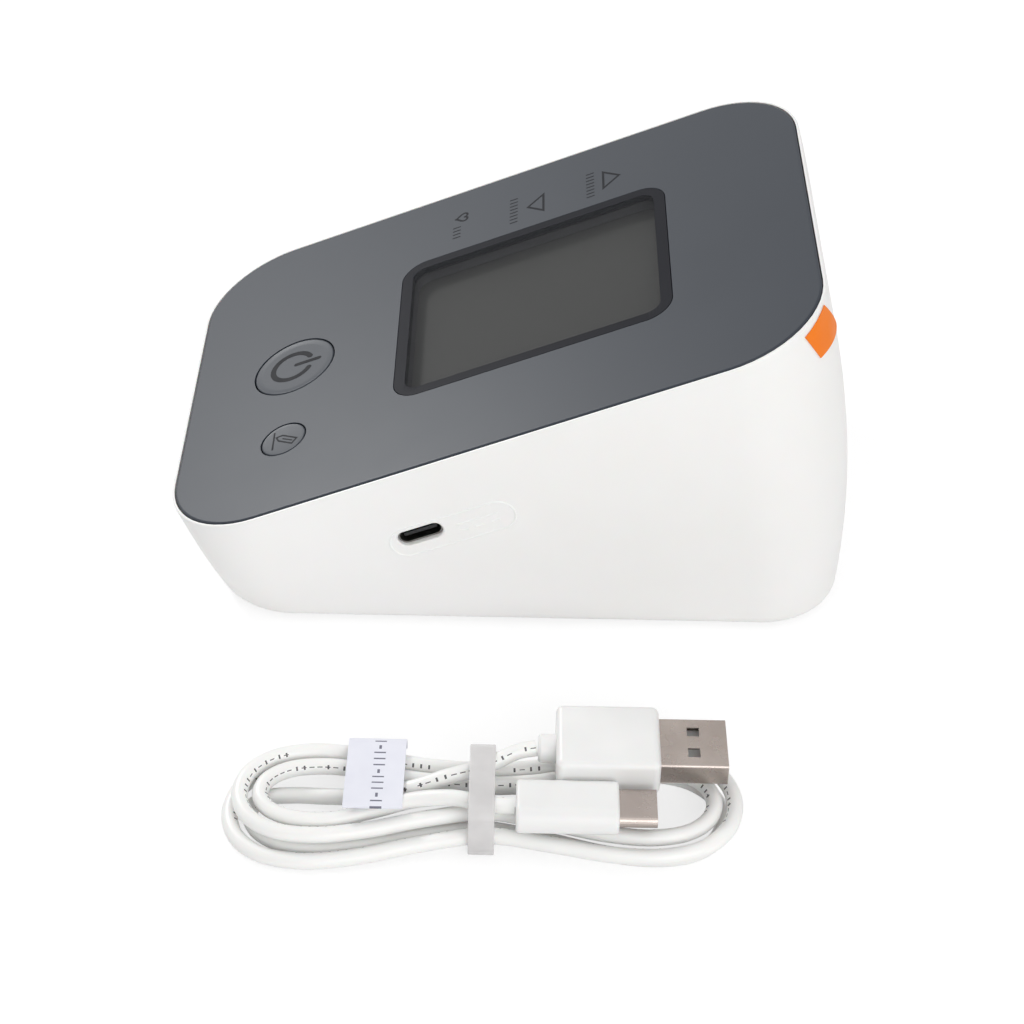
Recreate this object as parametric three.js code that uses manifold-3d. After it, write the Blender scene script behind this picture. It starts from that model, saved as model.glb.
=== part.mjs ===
// A desk-top blood pressure monitor with a sloping face, and the power lead that lies in front of it.
// Millimetres. X runs to the user's right, Y to the rear and Z up. The rubber feet stand on Z = 0.
import * as THREE from "three";
import { mergeVertices } from "three/addons/utils/BufferGeometryUtils.js";
import Module from "manifold-3d";

const wasm = await Module();
wasm.setup();

// Sloping top: the outline of the housing rim, its tilt, and its height over the housing's underside
const rimLength = 134.2;
const rimWidth = 95.6;
const rimCornerRadius = 19.7;
const topTilt = THREE.MathUtils.degToRad(22.7);
const topHeight = 45.4;

// Housing: outline of the underside, swell of the walls between underside and rim, and wall thicknesses
const baseHalfWidth = 44.7;
const baseFront = -52.9;
const baseRear = 71;
const baseCornerRadius = 16;
const baseFillet = 2.5;
const sideSwell = 1.8;
const rearSwell = 3.3;
const wallThickness = 2.2;
const floorThickness = 2.2;
const cavityFillet = 1;
const cavityRise = 6;

// Clearances between fitted pieces
const fitGap = 0.3;
const frameClearance = 1;
const doorGap = 0.4;

// How far joined shapes run into each other, and how far a cutting shape runs past what it cuts
const joinDepth = 0.5;
const cutPast = 1;

// Face panel, which lies in a step of the rim
const rimLedge = 0.55;
const rimDrop = 0.15;
const panelThickness = 1.6;
const panelEdgeRound = 0.5;

// Upper frame under the panel
const frameThickness = 2;
const framePostRadius = 3.5;

// Display, from the clear window down to the glass
const windowWidth = 47.5;
const windowLength = 58;
const windowCornerRadius = 5.6;
const windowLeastCorner = 0.6;
const windowCornerSteps = 6;
const windowCentre = 9;
const windowThickness = 1.3;
const bezelBand = 2.6;
const bezelDepth = 2;
const lcdMargin = 1.5;
const lcdThickness = 2.2;
const holderWall = 1.6;
const holderLedge = 3;
const zebraWidth = 2;
const zebraEndGap = 2;

// Buttons and the switches under them
const powerRadius = 9;
const powerPlace = [0, -43.1];
const memoryRadius = 4.9;
const memoryPlace = [24.6, -43.2];
const buttonFlange = 0.8;
const flangeThickness = 0.6;
const flangeDrop = 0.3;
const buttonDish = 0.35;
const buttonSides = 32;
const stemRadius = 2.4;
const switchSize = 6;
const switchHeight = 2.3;
const plungerRadius = 1.7;
const plungerProud = 0.7;
const plungerLength = 2.3;

// Main board
const boardDepth = 9;
const boardThickness = 1.6;
const boardHalfWidth = 31;
const boardFront = -58;
const boardRear = 47;
const boardCornerRadius = 4;
const boardScrewPlaces = [
  [-25, -51],
  [0, 43],
];
const boardPostRadius = 2.8;
const boardScrewRadius = 1;
const boardScrewHead = 2;
const boardScrewHeadHeight = 1.3;
const boardScrewLength = 5;

// Pieces on the underside of the main board
const buzzerRadius = 6;
const buzzerHeight = 4;
const buzzerHoleRadius = 1;
const buzzerPlace = [18, -25];
const sensorSize = 8;
const sensorHeight = 5;
const sensorPlace = [-24, 12];

// Power socket in the right wall, with its small board and the shelf that carries it
const socketPlace = [-19, -14.5];
const socketSlotLength = 9.5;
const socketSlotHeight = 3.8;
const socketDepth = 7.4;
const socketRecess = 0.9;
const socketSheet = 0.3;
const tongueHeight = 0.7;
const tongueWidth = 6.7;
const tongueLength = 5.2;
const tongueRoot = 1;
const tongueRound = 0.2;
const socketBoardThickness = 1.2;
const socketBoardLength = 15;
const socketBoardReach = 13.5;
const shelfThickness = 2;

// Air socket in the left wall
const airPlace = [-19, -14.5];
const airRingRadius = 6.6;
const airFlangeRadius = 8.2;
const airFlangeThickness = 1.6;
const airBoreRadius = 4;
const airBoreDepth = 7;
const airRingSet = 0.4;
const airEndWall = 1.6;
const airMouthChamfer = 0.6;
const airRingChamfer = 0.4;
const airSides = 24;

// Air tubes and the nipples that they slip over
const tubeRadius = 2.4;
const tubeBoreRadius = 1.35;
const tubeStraight = 1.2;
const tubeSides = 7;
const nippleRadius = 1.05;
const nippleLength = 4;
const nippleBore = 0.5;

// Bends of the air tubes, chosen by hand as steps from the pieces that the tubes join
const airTubeRoot = [
  [-28.5, 2.5, -0.5],
  [-29.5, 9, 0],
];
const airTubeEnd = [3.5, -18];
const pumpTubeMiddle = [-1.4, -2, 5];
const valveTubeSide = -0.8;
const valveTubeStart = [14, 0.4];
const valveTubeEnd = [-12, 1.5];

// Four-way air connector
const connectorPlace = [-38.6, 17, 22];
const connectorRadius = 3;
const connectorReach = 4.5;

// Battery bay in the floor, its four cells and its door
const bayWidth = 60.4;
const bayFront = -8;
const cellEndRoom = 4;
const bayWall = 1.6;
const cellRadius = 7.1;
const cellLength = 49;
const cellNub = 1.3;
const cellNubRadius = 2.6;
const cellEdge = 0.6;
const cellPitch = 14.8;
const contactThickness = 0.5;
const contactBottom = 5;
const contactHeight = 10;
const springLength = 3.6;
const springRadii = [2.2, 4.4];
const tongueSpan = 9;
const tongueReach = 3;
const tongueThickness = 1.2;
const tongueSpread = 40;
const doorSwingHeight = 4.8;
const latchWidth = 15;
const latchReach = 5;
const latchSlot = 1;
const gripInset = 2;
const gripDepth = 0.9;

// Case screws with the bosses and posts that they join
const caseScrewSideInset = 8.7;
const caseScrewFrontInset = 15.9;
const caseScrewRearInset = 9.9;
const bossRadius = 4;
const bossHeight = 8;
const screwRadius = 1.5;
const screwHeadRadius = 2.7;
const screwHeadHeight = 1.8;
const screwHeadSet = 1.4;
const screwLength = 15;
const screwCross = [3.2, 0.8, 0.9];

// Rubber feet
const footRadius = 5;
const footProud = 0.8;
const footSet = 0.8;
const footPlaces = [
  [26, -43.5],
  [-26, -43.5],
  [26, 61],
  [-26, 61],
];

// Blank rating plate on the underside
const plateLabelSize = [46, 20];
const plateLabelPlace = [0, -26];
const plateLabelThickness = 0.2;
const plateLabelRound = 2;

// Coloured mark on the rear right corner: each end by its share of the corner's turn and of the wall's height
const markTopLeft = [0.51, 0.975];
const markTopRight = [0.77, 0.988];
const markBottomLeft = [0.615, 0.88];
const markBottomRight = [0.99, 0.8625];
const markThickness = 0.25;
const markOffset = 0.12;

// Pump: motor, head and the crank between them, on a cradle over the battery bay
const pumpAxis = [40, 34.3];
const motorRadius = 12.2;
const motorLength = 30.8;
const motorRight = 30;
const motorBossRadius = 3.1;
const motorBossLength = 1.6;
const headRadius = 13.4;
const headLength = 26;
const headWall = 2.4;
const headChamberDepth = 16;
const crankShaftRadius = 1;
const crankRadius = 4;
const crankOffset = 1.2;
const crankWidth = 4;
const crankReach = 9;
const crankSeat = 6;
const cradleLength = 22;
const cradleHalfWidth = 13;
const cradleOpening = 3.5;
const cradleSet = 4;
const outletRise = 6;

// Release valve on the floor
const valveSize = [13, 20, 12];
const valvePlace = [-22.5, -28];
const valvePlungerRadius = 1.5;
const valvePlungerHead = 2.6;
const valvePlungerHeadThickness = 1;
const valvePlungerReach = 3;
const valvePlungerSeat = 8;
const valveTravel = 1;

// Power lead: a hank of round cable held by a band, with a plug on each end
const cableRadius = 1.5;
const leadPlace = [97.5, 1];
const hankHalfLength = 46;
const hankHalfWidth = 14.7;
const hankWaistDraw = 6.8;
const hankWaistReach = 22;
const hankEndPower = 6;
const hankReverse = 1.5;
const hankStartTurn = 0.25;
const hankEndTurn = 3.34;
const hankStep = 3.65;
const hankLayer = 3.5;
const hankLean = 0.8;
const stepsPerTurn = 24;
const cableSides = 6;
const bandWidth = 4.6;
const bandThickness = 0.5;
const bandLift = 0.8;
const bandLiftReach = 9;
const bandInside = [18.8, 11];
const bandMiddle = 0.5;
const bandCorner = 3.2;

// Plug that goes to a charger: it lies on the far side of the hank
const plugABody = [15.5, 18.5, 7.9];
const plugARound = 1.4;
const plugAShell = [12, 12, 4.5];
const plugASheet = 0.35;
const plugAShellRound = 0.4;
const plugAInsert = [11, 9, 1.7];
const plugAHole = 2.2;
const plugAHoleSpread = 5.2;
const plugASeat = 2;
const plugAPlace = [-7.2, 13, 11.3];
const reliefRadius = 2.6;
const reliefLength = 3.2;

// Plug that goes into the monitor: it lies on the near side of the hank
const plugCBody = [10.4, 18, 5.8];
const plugCRound = 2.7;
const plugCShell = [8.3, 6.65, 2.4];
const plugCSheet = 0.3;
const plugCSeat = 1.5;
const plugCPlace = [6.1, 6, 10.3];

// Free ends of the cable, from each plug to the loops, as points chosen by hand
const chargerEnd = [
  [-6.6, 6.2, 11],
  [-3.9, 0, 9.5],
  [-2.2, -6, 8.8],
  [-1.5, -13, 6.2],
  [-1.7, -20, 3.8],
  [-2.9, -28, 2.3],
  [-3.6, -34, 1.7],
  [-2.9, -39, 1.55],
];
const monitorEnd = [
  [5.3, -27, 4.95],
  [3.4, -19, 5.7],
  [2.2, -12, 7.2],
  [3.3, -5, 9.1],
  [5, 0, 9.7],
];

// Paper flag that lies over the far strands, drawn in the plane across the hank
const flagWidth = 10.5;
const flagThickness = 0.3;
const flagPlace = -19.2;
const flagProfile = [
  [-14.1, 3.6],
  [-14, 5.3],
  [-13, 6.7],
  [-11, 7.2],
  [-4, 7.6],
  [0.5, 8.1],
  [5.6, 8.4],
];

const colours = {
  housing: { color: 0xf0eeec, roughness: 0.45, metalness: 0 },
  panel: { color: 0x74787c, roughness: 0.25, metalness: 0 },
  clear: { color: 0x8c8f90, roughness: 0.08, metalness: 0 },
  mask: { color: 0x3a3c42, roughness: 0.4, metalness: 0 },
  display: { color: 0x5c5d5a, roughness: 0.2, metalness: 0 },
  board: { color: 0x2c5a3c, roughness: 0.5, metalness: 0 },
  black: { color: 0x1c1d1f, roughness: 0.5, metalness: 0 },
  steel: { color: 0xb4b6b8, roughness: 0.3, metalness: 1 },
  silicone: { color: 0xd8dcda, roughness: 0.6, metalness: 0 },
  rubber: { color: 0x5a5c5e, roughness: 0.8, metalness: 0 },
  cell: { color: 0x39414a, roughness: 0.4, metalness: 0.2 },
  mark: { color: 0xf7872d, roughness: 0.5, metalness: 0 },
  cable: { color: 0xeeeeec, roughness: 0.5, metalness: 0 },
  paper: { color: 0xf4f4f6, roughness: 0.8, metalness: 0 },
};

// Values that follow from the sizes above
const panelInset = rimLedge + fitGap;
const caseScrewSide = baseHalfWidth - caseScrewSideInset;
const caseScrewFront = baseFront + caseScrewFrontInset;
const caseScrewRear = (rimLength / 2) * Math.cos(topTilt) - caseScrewRearInset;
const caseScrewPlaces = [
  [caseScrewSide, caseScrewFront],
  [-caseScrewSide, caseScrewFront],
  [caseScrewSide, caseScrewRear],
  [-caseScrewSide, caseScrewRear],
];
const frameTop = -(panelThickness + fitGap);
const frameBottom = frameTop - frameThickness;
const bezelTop = -(windowThickness + fitGap);
const bezelBottom = bezelTop - bezelDepth;
const lcdTop = bezelBottom - fitGap;
const lcdBottom = lcdTop - lcdThickness;
const boardTop = -boardDepth;
const boardBottom = boardTop - boardThickness;
const bayLength = cellLength + 2 * cellEndRoom;
const bayHeight = floorThickness + fitGap + 2 * cellRadius + fitGap;
const bayRear = bayFront + bayLength;
const bayTop = bayHeight + bayWall;
const outerSteps = { corner: 8, edge: 2, fillet: 3, wall: 5 };
const innerSteps = { corner: 5, edge: 1, fillet: 1, wall: 3 };

// Meshes and solids
function toSolid(geometry) {
  const bare = geometry.clone();
  for (const name of Object.keys(bare.attributes)) {
    if (name !== "position") {
      bare.deleteAttribute(name);
    }
  }
  const merged = mergeVertices(bare, 1e-4);
  const mesh = new wasm.Mesh({
    numProp: 3,
    vertProperties: merged.attributes.position.array,
    triVerts: new Uint32Array(merged.index.array),
  });
  return new wasm.Manifold(mesh);
}

function toGeometry(solid) {
  const mesh = solid.getMesh();
  const geometry = new THREE.BufferGeometry();
  geometry.setAttribute("position", new THREE.BufferAttribute(mesh.vertProperties, 3));
  geometry.setIndex(new THREE.BufferAttribute(mesh.triVerts, 1));
  const flat = geometry.toNonIndexed();
  flat.computeVertexNormals();
  return flat;
}

function joined(...geometries) {
  const solids = geometries.map(toSolid);
  return toGeometry(solids.reduce((whole, next) => whole.add(next)));
}

function cut(geometry, ...tools) {
  const solids = tools.map(toSolid);
  return toGeometry(solids.reduce((whole, tool) => whole.subtract(tool), toSolid(geometry)));
}

function overlapOf(first, second) {
  return toGeometry(toSolid(first).intersect(toSolid(second)));
}

// Outlines, as lists of points round their own centre
function roundedOutline(width, length, radius, steps = 8) {
  const points = [];
  const corner = Math.min(radius, width / 2, length / 2);
  const centres = [
    [width / 2 - corner, length / 2 - corner],
    [-width / 2 + corner, length / 2 - corner],
    [-width / 2 + corner, -length / 2 + corner],
    [width / 2 - corner, -length / 2 + corner],
  ];
  centres.forEach(([x, y], quarter) => {
    for (let step = 0; step <= steps; step += 1) {
      const angle = (Math.PI / 2) * (quarter + step / steps);
      points.push(new THREE.Vector2(x + corner * Math.cos(angle), y + corner * Math.sin(angle)));
    }
  });
  return withoutRepeats(points);
}

function withoutRepeats(points) {
  return points.filter((point, index) => {
    const before = points[(index + points.length - 1) % points.length];
    return point.distanceTo(before) > 1e-4;
  });
}

function circleOutline(radius, steps = 32, x = 0, y = 0) {
  const points = [];
  for (let step = 0; step < steps; step += 1) {
    const angle = (2 * Math.PI * step) / steps;
    points.push(new THREE.Vector2(x + radius * Math.cos(angle), y + radius * Math.sin(angle)));
  }
  return points;
}

function shifted(outline, x, y) {
  return outline.map((point) => new THREE.Vector2(point.x + x, point.y + y));
}

// A plate whose face lies at the given height and whose thickness goes down from it
function plate(outline, thickness, top = 0, holes = [], edge = 0) {
  const shape = new THREE.Shape(outline);
  shape.holes = holes.map((hole) => new THREE.Path(hole));
  const geometry = new THREE.ExtrudeGeometry(shape, {
    depth: thickness - 2 * edge,
    steps: 1,
    bevelEnabled: edge > 0,
    bevelThickness: edge,
    bevelSize: edge,
    bevelOffset: -edge,
    bevelSegments: 1,
  });
  return geometry.translate(0, 0, top - thickness + edge);
}

function block(low, high) {
  const size = high.map((value, axis) => value - low[axis]);
  const geometry = new THREE.BoxGeometry(...size);
  return geometry.translate(...low.map((value, axis) => value + size[axis] / 2));
}

// A round bar from one point to another
function bar(from, to, radius, sides = 24) {
  const start = new THREE.Vector3(...from);
  const run = new THREE.Vector3(...to).sub(start);
  const geometry = new THREE.CylinderGeometry(radius, radius, run.length(), sides);
  const along = run.clone().normalize();
  const turn = new THREE.Quaternion().setFromUnitVectors(new THREE.Vector3(0, 1, 0), along);
  const middle = start.addScaledVector(run, 0.5);
  return geometry.applyQuaternion(turn).translate(middle.x, middle.y, middle.z);
}

// A prism that runs along X, from an outline drawn with Y across and Z up
function prismAlongX(outline, from, to) {
  const shape = new THREE.Shape(outline);
  const geometry = new THREE.ExtrudeGeometry(shape, { depth: to - from, bevelEnabled: false });
  const basis = new THREE.Matrix4().makeBasis(
    new THREE.Vector3(0, 1, 0),
    new THREE.Vector3(0, 0, 1),
    new THREE.Vector3(1, 0, 0),
  );
  return geometry.applyMatrix4(basis).translate(from, 0, 0);
}

// A prism that runs along Y, from an outline drawn with X across and Z up
function prismAlongY(outline, from, to, holes = []) {
  const shape = new THREE.Shape(outline);
  shape.holes = holes.map((hole) => new THREE.Path(hole));
  const geometry = new THREE.ExtrudeGeometry(shape, { depth: to - from, bevelEnabled: false });
  return geometry.rotateX(Math.PI / 2).translate(0, to, 0);
}

// From the frame of the sloping top to the frame of the housing
const topFrame = new THREE.Matrix4()
  .makeTranslation(0, 0, topHeight)
  .multiply(new THREE.Matrix4().makeRotationX(topTilt));

function fromTop(geometry) {
  return geometry.clone().applyMatrix4(topFrame);
}

function pointFromTop(x, along, up) {
  return new THREE.Vector3(x, along, up).applyMatrix4(topFrame);
}

// Housing walls: an outline with its outward direction at each point
function wallOutline(halfWidth, front, rear, radius, steps) {
  const centres = [
    [halfWidth - radius, rear - radius],
    [-halfWidth + radius, rear - radius],
    [-halfWidth + radius, front + radius],
    [halfWidth - radius, front + radius],
  ];
  const points = [];
  centres.forEach(([x, y], quarter) => {
    for (let step = 0; step <= steps.corner; step += 1) {
      const angle = (Math.PI / 2) * (quarter + step / steps.corner);
      const out = [Math.cos(angle), Math.sin(angle)];
      points.push({ x: x + radius * out[0], y: y + radius * out[1], out });
    }
    const [nextX, nextY] = centres[(quarter + 1) % centres.length];
    const last = points[points.length - 1];
    for (let step = 1; step < steps.edge; step += 1) {
      const share = step / steps.edge;
      const move = [(nextX - x) * share, (nextY - y) * share];
      points.push({ x: last.x + move[0], y: last.y + move[1], out: last.out });
    }
  });
  return points;
}

// One line of the wall, from the underside's outline up to the rim's, with the wall's swell
function makeWallLine(base, rim) {
  const foot = new THREE.Vector3(base.x, base.y, 0);
  const head = pointFromTop(rim.x, rim.y, -rimDrop);
  const out = new THREE.Vector3(base.out[0], base.out[1], 0);
  const swell = out.x ** 2 * sideSwell + Math.max(0, out.y) ** 2 * rearSwell;
  return {
    out,
    head,
    length: head.distanceTo(foot),
    at(share) {
      const point = new THREE.Vector3().lerpVectors(foot, head, share);
      return point.addScaledVector(out, swell * 4 * share * Math.max(0, 1 - share));
    },
  };
}

// The solid inside the housing's outer wall, or inside the same wall set inwards
function housingSolid(inset, bottom, fillet, over, steps) {
  const base = wallOutline(
    baseHalfWidth - inset,
    baseFront + inset,
    baseRear - inset,
    baseCornerRadius - inset,
    steps,
  );
  const rim = wallOutline(
    rimWidth / 2 - inset,
    -rimLength / 2 + inset,
    rimLength / 2 - inset,
    rimCornerRadius - inset,
    steps,
  );
  const lines = base.map((point, index) => makeWallLine(point, rim[index]));
  const rings = [];
  for (let step = 0; step <= steps.fillet; step += 1) {
    rings.push(lines.map((line) => filletPoint(line, bottom, fillet, step / steps.fillet)));
  }
  for (let step = 1; step <= steps.wall; step += 1) {
    rings.push(lines.map((line) => wallPoint(line, bottom, fillet, step / steps.wall)));
  }
  if (over > 0) {
    rings.push(lines.map((line) => line.at(1 + over / line.length)));
  }
  return closedRings(rings);
}

function wallPoint(line, bottom, fillet, share) {
  const start = bottom / line.head.z + fillet / line.length;
  return line.at(start + (1 - start) * share);
}

// Rounded edge between the floor and one line of the wall
function filletPoint(line, bottom, fillet, share) {
  const start = bottom / line.head.z;
  const corner = line.at(start);
  const inner = corner.clone().addScaledVector(line.out, -fillet);
  const upper = line.at(start + fillet / line.length);
  const curve = new THREE.QuadraticBezierCurve3(inner, corner, upper);
  return curve.getPoint(share);
}

// A closed mesh from rings of equal counts, each end closed by a fan
function closedRings(rings) {
  const count = rings[0].length;
  const points = rings.flat();
  const sumOf = (ring) => ring.reduce((sum, point) => sum.add(point), new THREE.Vector3());
  const centreOf = (ring) => sumOf(ring).divideScalar(count);
  points.push(centreOf(rings[0]), centreOf(rings[rings.length - 1]));
  const bottomCentre = points.length - 2;
  const topCentre = points.length - 1;
  const lastRing = (rings.length - 1) * count;
  const faces = [];
  for (let index = 0; index < count; index += 1) {
    const next = (index + 1) % count;
    for (let ring = 0; ring < rings.length - 1; ring += 1) {
      const low = ring * count;
      const high = low + count;
      faces.push(low + index, low + next, high + next);
      faces.push(low + index, high + next, high + index);
    }
    faces.push(bottomCentre, next, index);
    faces.push(topCentre, lastRing + index, lastRing + next);
  }
  const geometry = new THREE.BufferGeometry().setFromPoints(points);
  geometry.setIndex(faces);
  const flat = geometry.toNonIndexed();
  flat.computeVertexNormals();
  return flat;
}

const outerSolid = housingSolid(0, 0, baseFillet, 0, outerSteps);
const cavitySolid = housingSolid(wallThickness, floorThickness, cavityFillet, cavityRise, innerSteps);

// Where a line along X leaves the outer wall, at a place given in the frame of the sloping top
function wallReach(along, up, side) {
  const start = pointFromTop(0, along, up);
  const caster = new THREE.Raycaster(start, new THREE.Vector3(side, 0, 0));
  const skin = new THREE.Mesh(outerSolid, new THREE.MeshBasicMaterial({ side: THREE.DoubleSide }));
  const hits = caster.intersectObject(skin);
  return start.x + side * hits[0].distance;
}

const socketFace = wallReach(...socketPlace, 1) - socketRecess;
const airFace = wallReach(...airPlace, -1) + airRingSet;

// Scene graph helpers
const monitor = new THREE.Group();
const slopingTop = new THREE.Group();
slopingTop.position.z = topHeight;
slopingTop.rotation.x = topTilt;
monitor.add(slopingTop);
const lead = new THREE.Group();

function addPiece(parent, name, geometry, colour) {
  const mesh = new THREE.Mesh(geometry, new THREE.MeshStandardMaterial(colours[colour]));
  mesh.name = name;
  parent.add(mesh);
  return mesh;
}

// Housing tub with the battery bay, screw bosses, socket shelf and wall openings
function makeHousing() {
  const shell = cut(outerSolid, cavitySolid);
  const halfBay = bayWidth / 2;
  const bay = block(
    [-halfBay - bayWall, bayFront - bayWall, 0],
    [halfBay + bayWall, bayRear + bayWall, bayTop],
  );
  const bosses = caseScrewPlaces.map(([x, y]) => bar([x, y, 0], [x, y, bossHeight], bossRadius, 20));
  const shelfTop = socketPlace[1] - socketSlotHeight / 2 - socketBoardThickness - fitGap;
  const shelf = block(
    [socketFace - socketBoardReach, socketPlace[0] - socketBoardLength / 2, shelfTop - shelfThickness],
    [socketFace + wallThickness, socketPlace[0] + socketBoardLength / 2, shelfTop],
  );
  const ribs = joined(bay, ...bosses, fromTop(shelf));
  const whole = joined(shell, overlapOf(ribs, outerSolid));
  return cut(whole, ...housingCuts());
}

function housingCuts() {
  const halfBay = bayWidth / 2;
  const far = 20;
  const cuts = [block([-halfBay, bayFront, -far], [halfBay, bayRear, bayHeight])];
  for (const [x, y] of caseScrewPlaces) {
    const seat = screwHeadSet + screwHeadHeight + fitGap;
    cuts.push(bar([x, y, -far], [x, y, seat], screwHeadRadius + fitGap, 20));
    cuts.push(bar([x, y, -far], [x, y, bossHeight + far], screwRadius + fitGap, 12));
  }
  for (const [x, y] of footPlaces) {
    cuts.push(bar([x, y, -far], [x, y, footSet], footRadius + fitGap, 24));
  }
  for (const side of [-1, 1]) {
    const middle = (side * tongueSpread) / 2;
    cuts.push(
      block(
        [middle - tongueSpan / 2 - fitGap, bayRear - cutPast, floorThickness],
        [middle + tongueSpan / 2 + fitGap, bayRear + bayWall + cutPast, floorThickness + doorSwingHeight],
      ),
    );
  }
  const slotOutline = roundedOutline(socketSlotLength, socketSlotHeight, socketSlotHeight / 2);
  const slot = shifted(slotOutline, ...socketPlace);
  cuts.push(fromTop(prismAlongX(slot, socketFace - socketDepth - cutPast, socketFace + far)));
  const airHole = circleOutline(airRingRadius + fitGap, airSides, ...airPlace);
  cuts.push(fromTop(prismAlongX(airHole, airFace - far, airFace + airBoreDepth)));
  const step = roundedOutline(rimWidth - 2 * rimLedge, rimLength - 2 * rimLedge, rimCornerRadius - rimLedge);
  cuts.push(fromTop(plate(step, far - frameTop, far)));
  return cuts;
}

// Upper frame: a plate with long posts down to the bosses and short posts for the board
function makeUpperFrame() {
  const inset = wallThickness + frameClearance;
  const outline = roundedOutline(rimWidth - 2 * inset, rimLength - 2 * inset, rimCornerRadius - inset);
  const holes = [
    displayOutline(0),
    circleOutline(powerRadius, buttonSides, ...powerPlace),
    circleOutline(memoryRadius, buttonSides, ...memoryPlace),
  ];
  const deck = fromTop(plate(outline, frameThickness, frameTop, holes));
  const high = 2 * topHeight + rimLength;
  const wide = roundedOutline(3 * rimWidth, 3 * rimLength, rimCornerRadius, 1);
  const above = fromTop(plate(wide, high, high + frameTop - joinDepth));
  const posts = caseScrewPlaces.map(([x, y]) => {
    const post = bar([x, y, bossHeight + fitGap], [x, y, high], framePostRadius, 16);
    return cut(post, above);
  });
  const boardPosts = boardScrewPlaces.map(([x, y]) =>
    fromTop(bar([x, y, boardTop + fitGap], [x, y, frameTop - joinDepth], boardPostRadius, 16)),
  );
  const pilots = caseScrewPlaces.map(([x, y]) =>
    bar([x, y, 0], [x, y, screwHeadSet + screwHeadHeight + screwLength + fitGap], screwRadius + fitGap, 12),
  );
  const pilotEnd = boardBottom + boardScrewLength + fitGap;
  const boardPilots = boardScrewPlaces.map(([x, y]) =>
    fromTop(bar([x, y, boardBottom], [x, y, pilotEnd], boardScrewRadius + fitGap, 12)),
  );
  return cut(joined(deck, ...posts, ...boardPosts), ...pilots, ...boardPilots);
}

function makePanel() {
  const outline = roundedOutline(
    rimWidth - 2 * panelInset,
    rimLength - 2 * panelInset,
    rimCornerRadius - panelInset,
  );
  const holes = [
    displayOutline(0),
    circleOutline(powerRadius, buttonSides, ...powerPlace),
    circleOutline(memoryRadius, buttonSides, ...memoryPlace),
  ];
  return plate(outline, panelThickness, 0, holes, panelEdgeRound);
}

// Display pieces, each one a little smaller than what it lies in
function displayOutline(inset) {
  const radius = Math.max(windowCornerRadius - inset, windowLeastCorner);
  const size = [windowWidth - 2 * inset, windowLength - 2 * inset];
  return shifted(roundedOutline(...size, radius, windowCornerSteps), 0, windowCentre);
}

function makeDisplay() {
  addPiece(slopingTop, "display_window", plate(displayOutline(fitGap), windowThickness), "clear");
  const bezel = plate(displayOutline(fitGap), bezelDepth, bezelTop, [displayOutline(bezelBand)]);
  addPiece(slopingTop, "display_bezel", bezel, "mask");
  const lcdInset = bezelBand - lcdMargin;
  addPiece(slopingTop, "lcd_glass", plate(displayOutline(lcdInset), lcdThickness, lcdTop), "display");
  const pocketInset = lcdInset - fitGap;
  const holderBottom = boardTop + fitGap;
  const outside = displayOutline(pocketInset - holderWall);
  const frame = plate(outside, lcdTop - holderBottom, lcdTop);
  const pocket = plate(displayOutline(pocketInset), lcdThickness + fitGap + cutPast, lcdTop + cutPast);
  const wellDepth = lcdTop - holderBottom + 2 * cutPast;
  const well = plate(displayOutline(lcdInset + holderLedge), wellDepth, lcdTop + cutPast);
  addPiece(slopingTop, "lcd_holder", cut(frame, pocket, well), "mask");
  const stripReach = windowLength / 2 - lcdInset - holderLedge - fitGap;
  const stripHalf = windowWidth / 2 - lcdInset - holderLedge - zebraEndGap;
  const strip = block(
    [-stripHalf, windowCentre - stripReach, boardTop + fitGap],
    [stripHalf, windowCentre - stripReach + zebraWidth, lcdBottom - fitGap],
  );
  addPiece(slopingTop, "zebra_strip", strip, "rubber");
}

// A button cap with a dished face, a flange under the frame and a stem
function buttonGeometry(radius) {
  const capRadius = radius - fitGap;
  const flangeRadius = radius + buttonFlange;
  const flangeTop = frameBottom - flangeDrop;
  const flangeBottom = flangeTop - flangeThickness;
  const stemEnd = boardTop + fitGap + switchHeight + plungerProud + fitGap;
  const profile = [
    [0, stemEnd],
    [stemRadius, stemEnd],
    [stemRadius, flangeBottom],
    [flangeRadius, flangeBottom],
    [flangeRadius, flangeTop],
    [capRadius, flangeTop],
    [capRadius, -buttonDish],
    [capRadius - buttonDish, 0],
    [capRadius - 2 * buttonDish, -buttonDish / 2],
    [0, -buttonDish],
  ];
  const points = profile.map(([x, y]) => new THREE.Vector2(x, y));
  return new THREE.LatheGeometry(points, buttonSides).rotateX(Math.PI / 2);
}

function makeButton(name, radius, [x, y]) {
  const cap = addPiece(slopingTop, `${name}_button`, buttonGeometry(radius), "panel");
  cap.position.set(x, y, 0);
  const bottom = boardTop + fitGap;
  const half = switchSize / 2;
  const body = cut(
    block([-half, -half, bottom], [half, half, bottom + switchHeight]),
    bar([0, 0, bottom - cutPast], [0, 0, bottom + switchHeight + cutPast], plungerRadius + fitGap, 16),
  );
  addPiece(slopingTop, `${name}_switch`, body, "black").position.set(x, y, 0);
  const top = bottom + switchHeight + plungerProud;
  const plunger = bar([0, 0, top - plungerLength], [0, 0, top], plungerRadius, 16);
  addPiece(slopingTop, `${name}_plunger`, plunger, "silicone").position.set(x, y, 0);
}

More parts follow.
